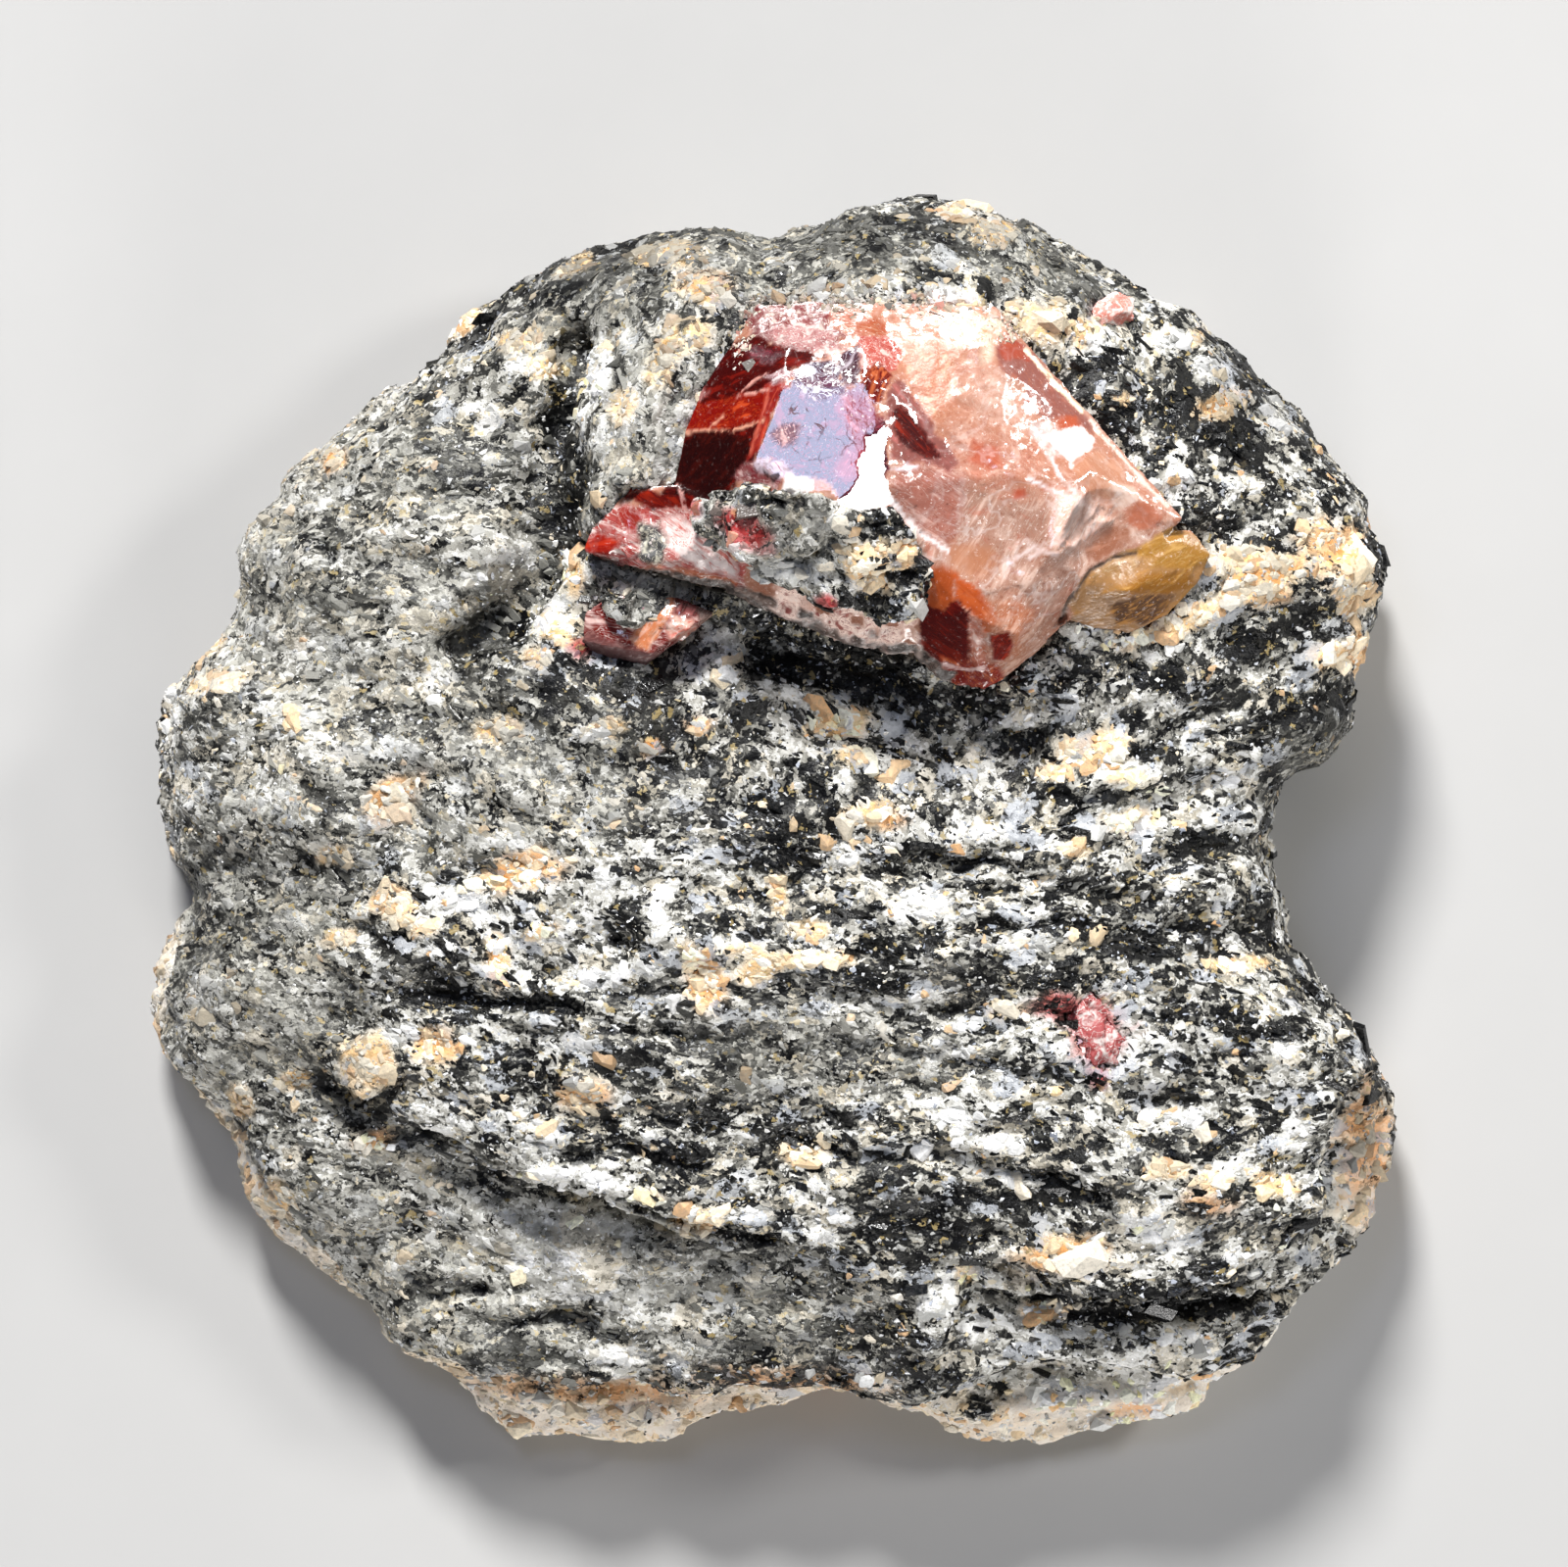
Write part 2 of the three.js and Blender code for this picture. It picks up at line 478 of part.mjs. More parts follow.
function specimen() {
  const group = new THREE.Group();
  const pocket = joined(MAIN_BODIES, GAP);
  const main = largestBody(zirconMain());
  const side = hull(SIDE_CRYSTAL).subtract(pocket);
  const sidePocket = hull(SIDE_CRYSTAL, GAP);

  let matrix = slab(topHeight, RINGS);
  for (const scar of SCARS) matrix = matrix.subtract(scarCut(scar));
  matrix = matrix.subtract(pocket).subtract(sidePocket);
  for (const [name, size] of Object.entries(SMALL_CRYSTALS)) {
    const points = smallCrystalPoints(size);
    matrix = matrix.subtract(hull(points, GAP));
    group.add(meshOf(name, hull(points)));
  }

  const frontCrust = crust(CRUST_OUTLINE, joined(MAIN_BODIES), CRUST_GRAINS, pocket);
  const sideCrust = crust(SIDE_CRUST_OUTLINE, hull(SIDE_CRYSTAL), SIDE_GRAINS, sidePocket.add(pocket));
  const grownMatrix = largestBody(matrix);
  group.add(meshOf("gneiss_matrix", grownMatrix));
  group.add(meshOf("zircon_main", main));
  group.add(meshOf("zircon_side", largestBody(side)));
  group.add(meshOf("crust_on_main", largestBody(frontCrust.subtract(grownMatrix))));
  group.add(meshOf("crust_on_side", largestBody(sideCrust.subtract(grownMatrix))));
  return group;
}

export default specimen();
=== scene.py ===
"""A zircon crystal in biotite gneiss. Lengths in this script are millimetres until a mesh is made."""

import math

import bmesh
import bpy
import numpy as np
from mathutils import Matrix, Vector
from mathutils.bvhtree import BVHTree


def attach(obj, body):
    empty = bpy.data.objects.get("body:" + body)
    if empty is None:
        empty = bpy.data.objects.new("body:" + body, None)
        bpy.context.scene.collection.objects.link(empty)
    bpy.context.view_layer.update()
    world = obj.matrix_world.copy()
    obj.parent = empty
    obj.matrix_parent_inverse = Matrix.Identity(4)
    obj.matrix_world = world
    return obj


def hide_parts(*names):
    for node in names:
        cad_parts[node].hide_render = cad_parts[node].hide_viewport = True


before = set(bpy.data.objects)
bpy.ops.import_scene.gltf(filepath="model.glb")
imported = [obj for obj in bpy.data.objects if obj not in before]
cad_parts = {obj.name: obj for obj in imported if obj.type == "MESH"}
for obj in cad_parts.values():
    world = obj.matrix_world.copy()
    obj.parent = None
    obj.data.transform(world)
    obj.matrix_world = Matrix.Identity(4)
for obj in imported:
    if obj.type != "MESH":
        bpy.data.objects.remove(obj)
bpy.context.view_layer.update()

MM = 0.001
SEED = 20
rng = np.random.default_rng(SEED)

# ---------------------------------------------------------------- noise on arrays of points


def hashed(cell, seed):
    """A number from 0 to 1 for each whole-number cell."""
    h = cell[:, 0] * 73856093 ^ cell[:, 1] * 19349663 ^ cell[:, 2] * 83492791 ^ seed * 2654435761
    h = h & 0xFFFFFFFF
    for _ in range(2):
        h = ((h ^ (h >> 16)) * 0x45D9F3B) & 0xFFFFFFFF
    return (h ^ (h >> 16)) / 4294967295.0


def wave(points, seed=0):
    """Smooth noise, about -1 to 1, that varies over one unit."""
    cell = np.floor(points).astype(np.int64)
    t = points - cell
    t = t * t * t * (t * (t * 6 - 15) + 10)
    total = np.zeros(len(points))
    for corner in range(8):
        bits = np.array([corner & 1, corner >> 1 & 1, corner >> 2 & 1])
        weight = np.prod(np.where(bits, t, 1 - t), axis=1)
        total += weight * hashed(cell + bits, seed)
    return total * 2 - 1


TURN = np.array([[0.80, 0.60, 0.0], [-0.48, 0.64, 0.6], [0.36, -0.48, 0.8]])


def fractal(points, octaves=4, seed=0, rough=0.5):
    """Waves of shrinking size, added up and turned against each other."""
    total, size, p = np.zeros(len(points)), 1.0, np.array(points, float)
    for octave in range(octaves):
        total += size * wave(p, seed + octave)
        size *= rough
        p = p @ TURN.T * 2.03 + 7.1
    return total


def cells(points, seed=0):
    """Distance to the nearest seed point, gap to the next one, and a random number for the cell."""
    base = np.floor(points).astype(np.int64)
    first = np.full(len(points), 9.0)
    second = first.copy()
    tag = np.zeros(len(points))
    for n in range(27):
        cell = base + np.array([n % 3 - 1, n // 3 % 3 - 1, n // 9 - 1])
        at = cell + np.stack([hashed(cell, seed + k) for k in (1, 2, 3)], axis=1)
        distance = np.linalg.norm(points - at, axis=1)
        nearer = distance < first
        second = np.where(nearer, first, np.minimum(second, distance))
        tag = np.where(nearer, hashed(cell, seed + 4), tag)
        first = np.where(nearer, distance, first)
    return first, second - first, tag


def smooth(low, high, value):
    """Rises softly from 0 at low to 1 at high, or falls where high is the smaller one."""
    t = np.clip((value - low) / (high - low), 0, 1)
    return t * t * (3 - 2 * t)


def mix(a, b, t):
    """a where t is 0 and b where t is 1, for numbers, colours or vectors."""
    t = np.asarray(t)[..., None] if np.ndim(a) > np.ndim(t) or np.ndim(b) > np.ndim(t) else t
    return a + (b - a) * t


# ---------------------------------------------------------------- where things are, seen from above

CRYSTAL_MIDDLE = np.array([6.0, 15.5])
CRYSTAL_REACH = 10.5
DIP = math.radians(-6)

# centre x, y, half lengths, turn in degrees
CREAM = [
    (13.1, 23.5, 1.1, 0.9, 30), (14.6, 23.2, 0.7, 0.7, 0), (11.6, 24.1, 0.8, 0.5, 0),
    (10.6, 28.1, 1.0, 0.7, 20), (8.9, 29.0, 0.9, 0.5, 0), (21.2, 19.8, 1.1, 0.6, 20),
    (20.2, 23.1, 0.8, 0.4, 40), (16.5, 20.1, 0.4, 0.4, 0), (22.9, 12.2, 2.2, 0.9, -5),
    (22.4, 10.9, 1.6, 0.6, 5), (26.6, 12.9, 1.7, 1.3, -20), (27.7, 10.9, 0.9, 1.2, 0),
    (18.2, 9.1, 1.8, 0.5, 14), (16.6, 8.6, 0.9, 0.4, 0), (20.4, 9.9, 1.0, 0.5, 30),
    (26.6, 7.9, 1.3, 0.6, 0), (28.0, 8.2, 0.5, 0.9, 0), (15.3, 3.4, 1.7, 0.9, 10),
    (13.5, 2.4, 0.9, 0.5, 0), (16.4, 2.4, 0.9, 0.5, 0), (3.2, 4.8, 1.3, 0.7, 10),
    (3.9, 3.2, 0.8, 0.4, 0), (4.6, 0.4, 1.3, 0.6, 0), (17.0, 0.1, 1.3, 0.5, 0),
    (14.3, -1.2, 0.6, 0.3, 0), (2.0, -6.4, 2.2, 0.4, 3), (0.2, -3.6, 0.5, 0.9, 0),
    (1.8, -5.0, 0.8, 0.4, 0), (10.8, -8.9, 0.8, 0.4, 0), (22.0, -6.7, 1.3, 0.4, 0),
    (18.5, -16.4, 0.9, 0.4, 0), (20.9, -17.0, 0.6, 0.5, 0), (23.4, -17.1, 0.9, 0.5, 0),
    (13.9, -20.4, 1.9, 0.8, 5), (9.3, -21.4, 0.5, 0.6, 0), (12.8, -23.2, 1.2, 0.5, 0),
    (-3.2, -7.2, 0.8, 1.5, 15), (-0.7, -7.0, 1.0, 0.7, 20), (-1.4, -5.9, 0.8, 0.3, 0),
    (-11.7, -2.2, 1.5, 0.8, 10), (-13.6, -2.7, 0.8, 0.4, 0), (-17.8, -4.0, 1.2, 0.9, 0),
    (-16.6, -4.9, 0.9, 0.4, 0), (-20.3, -5.4, 0.7, 0.4, 0), (-12.9, -6.6, 0.5, 1.2, 0),
    (-10.9, -5.1, 0.9, 0.3, 20), (-15.9, -10.5, 1.0, 0.8, 30), (-19.3, -11.5, 1.2, 1.3, 0),
    (-9.0, -12.9, 1.0, 0.6, 0), (-3.6, -18.8, 1.2, 0.6, -10), (-5.6, -17.7, 0.6, 0.3, 0),
    (-22.6, -12.3, 0.8, 0.4, 0), (-25.3, -13.3, 0.6, 0.8, 0), (-18.7, -15.3, 1.0, 0.3, 0),
    (-18.2, 1.2, 1.2, 0.8, 35), (-20.9, -1.6, 0.7, 0.5, 0), (-13.0, 4.4, 1.0, 0.5, 0),
    (-7.6, 4.5, 0.9, 0.3, 0), (-5.6, 3.5, 0.5, 0.4, 0), (-3.5, 4.6, 0.5, 0.3, 0),
    (-10.3, 9.2, 1.1, 0.7, -40), (-11.0, 7.8, 0.8, 0.5, 0), (-9.5, 12.0, 0.5, 1.0, 20),
    (-5.2, 27.0, 1.6, 0.6, 5), (-9.3, 26.7, 1.0, 0.4, 30), (-3.2, 25.0, 1.0, 0.7, 0),
    (-5.0, 22.0, 0.6, 1.6, -20), (-3.6, 22.9, 0.6, 0.9, -30), (-14.9, 23.8, 1.0, 0.5, 45),
    (-12.0, 23.0, 1.0, 0.6, 10), (-10.9, 21.5, 0.9, 0.5, 0), (-7.0, 19.6, 0.6, 0.8, 0),
    (-20.9, 17.2, 0.6, 0.5, 0), (-27.0, 8.6, 1.0, 0.5, 20), (-26.5, 6.6, 1.3, 0.5, 10),
    (4.4, 12.2, 1.2, 1.1, -50), (6.2, 12.5, 0.45, 0.6, 0), (1.5, -15.6, 1.0, 0.5, 0),
    (24.4, -17.2, 0.5, 0.4, 0), (-24.0, -18.0, 1.2, 0.8, -40),
]
WHITE = [
    (-8.2, 21.4, 0.5, 1.4, -8), (-6.9, 22.9, 0.5, 0.5, 0), (-8.0, 18.0, 0.7, 0.5, 0),
    (-9.2, 19.0, 0.4, 0.5, 0), (-12.2, 22.0, 0.6, 0.6, 0), (-13.6, 19.5, 0.6, 0.5, 0),
    (-18.1, 13.7, 0.4, 0.6, 0), (-14.2, 11.6, 0.9, 0.4, 10), (-15.7, 10.5, 0.7, 0.5, 0),
    (-25.5, 13.4, 0.7, 1.1, -20), (-21.8, 15.2, 0.8, 0.5, 20), (-22.0, 8.4, 0.8, 0.4, 0),
    (-22.7, 5.0, 0.8, 0.6, 0), (-28.8, 5.4, 0.5, 1.2, 0), (-15.9, 7.0, 0.8, 0.7, 0),
    (-8.7, 4.2, 0.9, 0.3, 0), (-4.3, 25.8, 0.5, 0.3, 0), (-7.0, 25.6, 0.9, 0.5, 20),
    (-2.4, 26.6, 0.7, 0.5, 0), (3.4, 25.1, 3.6, 0.55, 4), (8.8, 24.7, 2.2, 0.45, -6),
    (9.2, 26.3, 1.4, 0.4, -8), (6.7, 26.8, 0.7, 0.3, 0), (3.1, 26.4, 0.5, 0.3, 0),
    (0.4, 26.4, 0.7, 0.3, 0), (19.0, 22.8, 1.2, 0.6, 10), (20.9, 21.5, 1.1, 0.6, -15),
    (18.6, 25.1, 0.9, 0.3, -35), (15.3, 22.7, 0.8, 0.6, 0), (24.0, 19.1, 1.3, 0.8, -40),
    (19.2, 16.3, 0.9, 0.5, 0), (24.9, 16.6, 0.6, 0.4, 0), (22.6, 16.0, 0.6, 0.4, 0),
    (27.5, 10.9, 0.7, 0.7, 0), (22.8, 6.6, 0.6, 0.3, 0), (21.9, 5.1, 0.6, 0.4, 0),
    (21.6, 2.1, 1.2, 0.6, 20), (12.0, 4.9, 0.8, 0.6, 0), (9.6, 3.4, 0.5, 0.4, 0),
    (6.8, 3.6, 0.6, 0.4, 0), (0.9, 6.2, 0.6, 0.3, 0), (-2.6, 7.0, 1.2, 0.4, 0),
    (-2.5, 7.9, 0.7, 0.3, 10), (3.5, -1.3, 1.2, 0.7, 10), (7.2, -3.8, 1.5, 1.0, -15),
    (10.2, -0.4, 0.9, 0.5, 0), (19.0, -2.9, 0.8, 0.3, 0), (22.3, -2.0, 0.5, 0.3, 0),
    (11.8, -5.6, 1.8, 0.4, 3), (9.0, -9.5, 1.1, 0.35, 3), (7.1, -8.3, 0.8, 0.4, 0),
    (7.3, -11.3, 0.5, 0.6, 0), (8.6, -10.8, 1.0, 0.35, -15), (23.0, -9.0, 0.7, 0.5, 0),
    (24.6, -10.8, 1.0, 0.4, -20), (8.4, -13.9, 1.4, 0.5, -20), (10.8, -15.2, 1.5, 0.6, -20),
    (10.9, -16.7, 1.5, 0.4, -10), (24.8, -14.7, 0.7, 0.8, 0), (19.5, -13.9, 1.5, 0.6, -5),
    (21.9, -16.4, 0.9, 0.4, 0), (18.6, -19.6, 1.8, 0.5, -12), (22.2, -20.6, 0.9, 0.4, 0),
    (19.3, -24.4, 1.4, 0.4, -5), (20.7, -25.2, 0.9, 0.5, -20), (3.0, -18.7, 0.9, 0.5, 0),
    (2.4, -19.6, 0.9, 0.4, 0), (7.3, -22.8, 0.5, 0.6, 0), (5.0, -26.8, 1.3, 0.4, 0),
    (-0.8, -18.5, 0.9, 0.4, 0), (-17.5, -9.9, 1.0, 0.5, -10), (-11.4, -14.9, 1.6, 1.3, 0),
    (-10.8, -16.7, 1.6, 0.4, 0), (-8.3, -16.9, 1.2, 0.4, -20), (-5.7, -15.2, 0.5, 0.6, 0),
    (-14.6, -21.0, 0.5, 0.5, 0), (-15.6, -18.7, 0.6, 0.4, 0), (-12.0, -21.2, 1.0, 0.6, 0),
    (-9.5, -20.8, 0.8, 0.6, 0), (-18.0, -21.5, 1.0, 0.7, -20), (-7.0, -25.4, 2.2, 0.5, 3),
    (-13.4, -26.4, 1.1, 0.5, 0), (-15.8, -5.9, 1.0, 0.3, 10), (-14.7, -3.7, 1.2, 0.6, 0),
    (-8.5, -7.3, 2.8, 0.5, 8), (-9.0, -10.5, 1.8, 0.4, -5), (-22.4, -4.8, 0.5, 0.4, 0),
    (-27.0, -8.2, 1.3, 1.0, 60), (-17.0, -0.2, 0.9, 0.6, 0), (-12.4, -0.8, 1.0, 0.5, 0),
    (-5.4, -3.9, 0.5, 0.9, 0), (-23.9, 1.0, 0.9, 0.6, 0), (-27.6, 1.2, 0.9, 0.6, 0),
    (0.6, 11.8, 1.5, 0.5, -18), (-1.6, 12.4, 1.2, 0.5, -30), (3.0, 14.2, 0.5, 0.6, 0),
]
# dark patches of the rock: dark minerals, and painted shadow in the grooves, below the ledges and under the
# large crystal's south face
DARK_AND_SHADOW = [
    (5.0, 27.6, 3.4, 1.0, 3), (13.5, 26.8, 1.5, 0.5, -30), (14.2, 25.6, 1.4, 0.5, -10),
    (9.8, 27.4, 0.8, 0.6, 0), (16.0, 20.6, 1.9, 1.5, -35), (18.4, 19.6, 1.6, 1.0, -40),
    (20.0, 14.6, 1.6, 0.8, -20), (17.8, 17.2, 1.2, 0.5, -40), (21.8, 18.1, 1.4, 0.6, -20),
    (26.5, 16.0, 1.2, 0.6, -30), (28.7, 12.9, 0.7, 1.4, 0), (23.6, 8.8, 2.2, 0.6, 5),
    (16.0, 7.0, 3.8, 0.9, 0), (12.6, 8.2, 1.8, 0.9, 10), (25.9, 5.0, 1.8, 1.2, -10),
    (19.6, 6.2, 2.0, 0.5, -4), (17.3, 3.6, 0.7, 0.5, 0), (10.4, 5.9, 3.0, 0.6, -4),
    (8.0, 4.9, 1.5, 0.6, 0), (2.4, 6.9, 4.2, 0.7, -12), (14.0, -0.5, 0.8, 0.4, 0),
    (19.6, -0.9, 1.4, 0.6, 0), (1.3, -1.1, 1.6, 1.2, 0), (-0.9, -0.5, 1.3, 1.6, 0),
    (12.0, -4.9, 4.6, 0.35, 2), (5.5, -5.8, 2.8, 0.4, 3), (4.6, -7.4, 2.2, 0.5, -8),
    (13.0, -7.5, 2.4, 0.4, 3), (17.6, -5.9, 1.8, 0.5, 0), (22.2, -9.6, 1.9, 0.7, -15),
    (8.8, -8.8, 0.9, 0.3, 0), (19.0, -11.0, 1.4, 0.6, 0), (1.5, -14.7, 2.2, 0.6, -5),
    (12.2, -17.7, 2.0, 0.5, -8), (5.6, -18.6, 2.3, 0.9, -5), (9.9, -17.6, 0.9, 0.5, 0),
    (16.8, -22.5, 4.6, 0.4, 2), (20.0, -23.2, 3.2, 0.6, 2), (9.2, -22.6, 0.5, 0.6, 0),
    (10.0, -28.2, 0.9, 0.6, 0), (20.6, -21.3, 1.0, 0.5, 0), (4.0, -24.0, 2.4, 0.6, -4),
    (-1.0, -24.0, 1.1, 1.5, 0), (1.6, -22.3, 1.8, 0.5, 0), (-4.4, -16.2, 1.5, 1.6, 0),
    (-2.4, -10.9, 1.8, 0.7, 0), (-3.6, -13.6, 2.0, 0.6, 0), (-9.4, -15.0, 0.6, 1.0, 0),
    (-10.2, -23.4, 2.4, 0.5, 0), (-16.2, -22.2, 1.5, 0.6, 0), (-12.0, -25.4, 1.4, 0.5, 0),
    (-8.0, -24.4, 1.2, 0.4, 0), (-16.0, -8.5, 2.6, 0.6, -4), (-10.5, -8.6, 2.2, 0.4, -6),
    (-12.1, -4.8, 0.6, 0.5, 0), (-6.9, -4.9, 0.5, 1.7, -10), (-3.2, -4.8, 1.0, 0.5, 0),
    (-16.8, -7.0, 0.8, 0.6, 0), (-20.6, -2.6, 0.9, 1.4, 0), (-21.0, 0.8, 1.1, 0.5, 0),
    (-22.5, -3.6, 0.9, 0.5, 0), (-21.4, -12.8, 1.4, 0.5, -30), (-19.4, -17.0, 1.4, 0.5, 0),
    (-17.2, -19.3, 0.8, 0.5, 0), (-10.1, 14.5, 0.8, 3.0, -5), (-10.0, 18.8, 0.6, 2.4, 5),
    (-12.9, 8.9, 1.6, 0.8, 25), (-17.6, 4.9, 2.3, 0.9, 5), (-20.8, 10.8, 1.8, 0.7, 0),
    (-16.0, 17.8, 1.2, 0.5, 0), (-14.7, 23.0, 0.6, 0.5, 0), (-16.6, 22.0, 0.9, 0.4, 20),
    (-9.0, 22.4, 0.3, 1.5, -15), (-7.1, 21.6, 0.4, 1.0, 10), (-5.6, 24.4, 0.8, 0.5, 0),
    (-5.8, 25.5, 0.8, 0.6, -40), (-4.7, 20.6, 0.5, 0.7, 0), (-8.6, 16.6, 0.7, 0.5, 0),
    (-3.9, 26.8, 0.9, 0.4, 0), (-27.0, 5.2, 1.2, 0.5, 10), (-1.2, 5.4, 1.6, 0.5, -5),
    (-7.0, 6.6, 2.2, 0.5, -4), (-4.9, 4.2, 1.2, 0.4, 0), (-8.0, 3.2, 1.2, 0.4, 0),
    (0.6, 14.9, 1.2, 0.35, -10), (5.4, 12.6, 0.5, 0.35, -20), (5.4, 14.0, 1.2, 0.4, 10),
    (5.0, 10.4, 1.0, 0.6, 0), (-0.6, 9.4, 2.6, 0.6, -12), (3.4, 7.9, 3.0, 0.7, -20),
    (6.0, 6.6, 2.2, 0.5, -20), (7.0, 11.6, 0.4, 1.2, 0), (-7.6, 11.0, 1.3, 0.6, 0),
    (-5.8, 10.6, 0.6, 0.6, 0), (-21.0, 13.6, 0.8, 0.7, 0), (-14.6, 16.4, 1.4, 0.8, 0),
]
# orange and brown iron stains
AMBER = [
    (13.8, -20.6, 1.9, 0.8, 5), (-18.1, 1.1, 1.3, 0.9, 35), (-11.8, -2.3, 1.8, 0.8, 10),
    (-3.2, -7.4, 0.8, 1.3, 15), (26.9, 12.9, 1.8, 1.3, -20), (24.4, 12.2, 1.2, 0.3, 20),
    (-15.8, -10.4, 1.0, 0.8, 30), (-17.8, -3.9, 1.0, 0.6, 0), (-9.0, -12.9, 1.2, 0.6, 0),
    (-18.8, -15.0, 1.2, 0.4, 10), (-3.0, 25.4, 1.1, 0.6, 0), (28.0, 8.0, 0.7, 0.9, 0),
    (-14.9, 23.9, 0.8, 0.5, 45), (6.3, 12.6, 0.5, 0.6, 0), (28.6, -15.6, 1.3, 3.0, 8),
    (-9.0, -27.2, 5.0, 0.6, -2), (5.6, 0.2, 0.8, 0.4, 0), (-12.9, -6.6, 0.4, 1.0, 0),
    (-5.5, 3.5, 0.7, 0.5, 0), (20.6, -18.0, 1.2, 0.6, -10), (17.4, -28.2, 1.2, 0.4, -5),
    (-3.6, 4.7, 0.9, 0.4, 0), (21.2, 19.6, 0.9, 0.5, 20), (-20.9, 17.3, 0.6, 0.6, 0),
    (1.0, -26.6, 4.0, 0.6, -3), (22.8, 11.3, 1.4, 0.6, -15),
]
# red dust of broken zircon
RED = [
    (-1.4, 13.7, 1.4, 0.7, -25), (2.5, 10.3, 0.5, 0.35, 0), (14.6, -9.0, 1.9, 0.7, -15),
    (15.4, -10.4, 1.0, 0.9, 0), (15.5, -12.1, 0.45, 0.5, 0), (-4.0, 14.9, 0.8, 0.4, -30),
    (-9.0, 8.2, 0.6, 0.5, 0),
]
# ledges, as lines with the broken-off side on the right: the drop and how far back the lip rises
LEDGES = [
    ([(-21.5, -11.5), (-19.0, -13.0), (-15.7, -15.1), (-11.5, -16.9), (-7.8, -17.5), (-4.1, -18.8),
     (-1.3, -19.4), (2.9, -20.9)], 0.8, 2.2),
    ([(8.6, -21.4), (10.5, -22.0), (12.7, -22.3), (16.8, -22.6), (20.6, -22.4), (24.3, -21.9)], 0.9,
     2.2),
    ([(-13.5, -14.6), (-10.0, -15.2), (-6.0, -15.3), (-2.5, -16.2)], 0.5, 1.6),
    ([(3.0, -9.4), (7.0, -10.6), (11.5, -11.2), (16.0, -12.4)], 0.5, 1.8),
    ([(-1.0, -14.0), (4.0, -15.2), (9.0, -15.6), (14.0, -16.8), (19.5, -17.6)], 0.55, 1.8),
    ([(6.0, -1.2), (11.0, -1.9), (16.0, -3.2), (22.0, -4.0)], 0.45, 1.6),
    ([(7.0, -4.3), (11.0, -4.6), (15.0, -4.5), (19.0, -5.2)], 0.45, 1.2),
    ([(-21.0, -4.0), (-17.0, -5.6), (-13.0, -8.0), (-8.0, -9.0), (-3.0, -10.4)], 0.5, 1.8),
    ([(1.0, 5.9), (5.0, 4.6), (10.0, 4.0), (15.0, 5.0)], 0.4, 1.4),
    ([(12.6, 1.6), (14.6, 1.2), (17.0, 1.7), (18.4, 1.2)], 0.5, 1.2),
]
# grooves: line, depth and half width
GROOVES = [
    ([(-9.4, 22.5), (-10.0, 19.0), (-9.8, 16.0), (-10.3, 13.3), (-11.2, 11.2), (-12.8, 9.5),
     (-14.8, 8.4)], 1.1, 0.75),
    ([(-9.1, 23.6), (-9.2, 21.6), (-8.7, 19.9), (-7.8, 19.6)], 0.55, 0.28),
    ([(-7.9, 23.0), (-7.3, 21.8), (-7.5, 20.0)], 0.45, 0.28),
    ([(-22.0, -12.0), (-20.6, -13.4), (-18.6, -13.2), (-17.8, -12.4)], 0.7, 0.35),
    ([(-17.4, -8.2), (-13.0, -8.6), (-9.0, -8.8)], 0.5, 0.35),
    ([(-20.9, 12.6), (-21.6, 13.4), (-21.2, 14.6)], 0.5, 0.3),
    ([(-17.6, -21.6), (-16.6, -22.8), (-14.0, -22.4)], 0.6, 0.3),
    ([(-12.8, -24.0), (-10.0, -23.6), (-7.6, -24.6)], 0.5, 0.35),
    ([(0.0, 7.3), (4.0, 6.9), (8.6, 6.0), (11.0, 6.7), (13.2, 8.9)], 0.5, 0.5),
]
DUST = [
    (-20.0, 12.0, 9.0, 9.0, 0), (-16.0, -21.0, 10.0, 5.0, -20), (1.0, 27.2, 7.0, 2.4, 0),
    (-24.0, -6.0, 5.0, 9.0, 0), (-5.0, 14.0, 3.0, 5.0, 0), (-2.0, -23.0, 6.0, 2.5, -5),
    (-14.0, 2.0, 8.0, 4.0, 0), (2.0, -11.0, 7.0, 1.8, -5), (-6.0, 19.4, 2.0, 5.0, -20),
    (12.0, 26.6, 4.0, 1.8, -30), (-8.0, 24.6, 5.0, 2.4, 30), (25.8, 3.6, 1.8, 1.4, 0),
    (0.8, 13.4, 2.4, 1.8, 0), (-8.0, -19.2, 5.0, 1.2, -8), (-17.0, -16.6, 5.0, 1.0, -8),
]
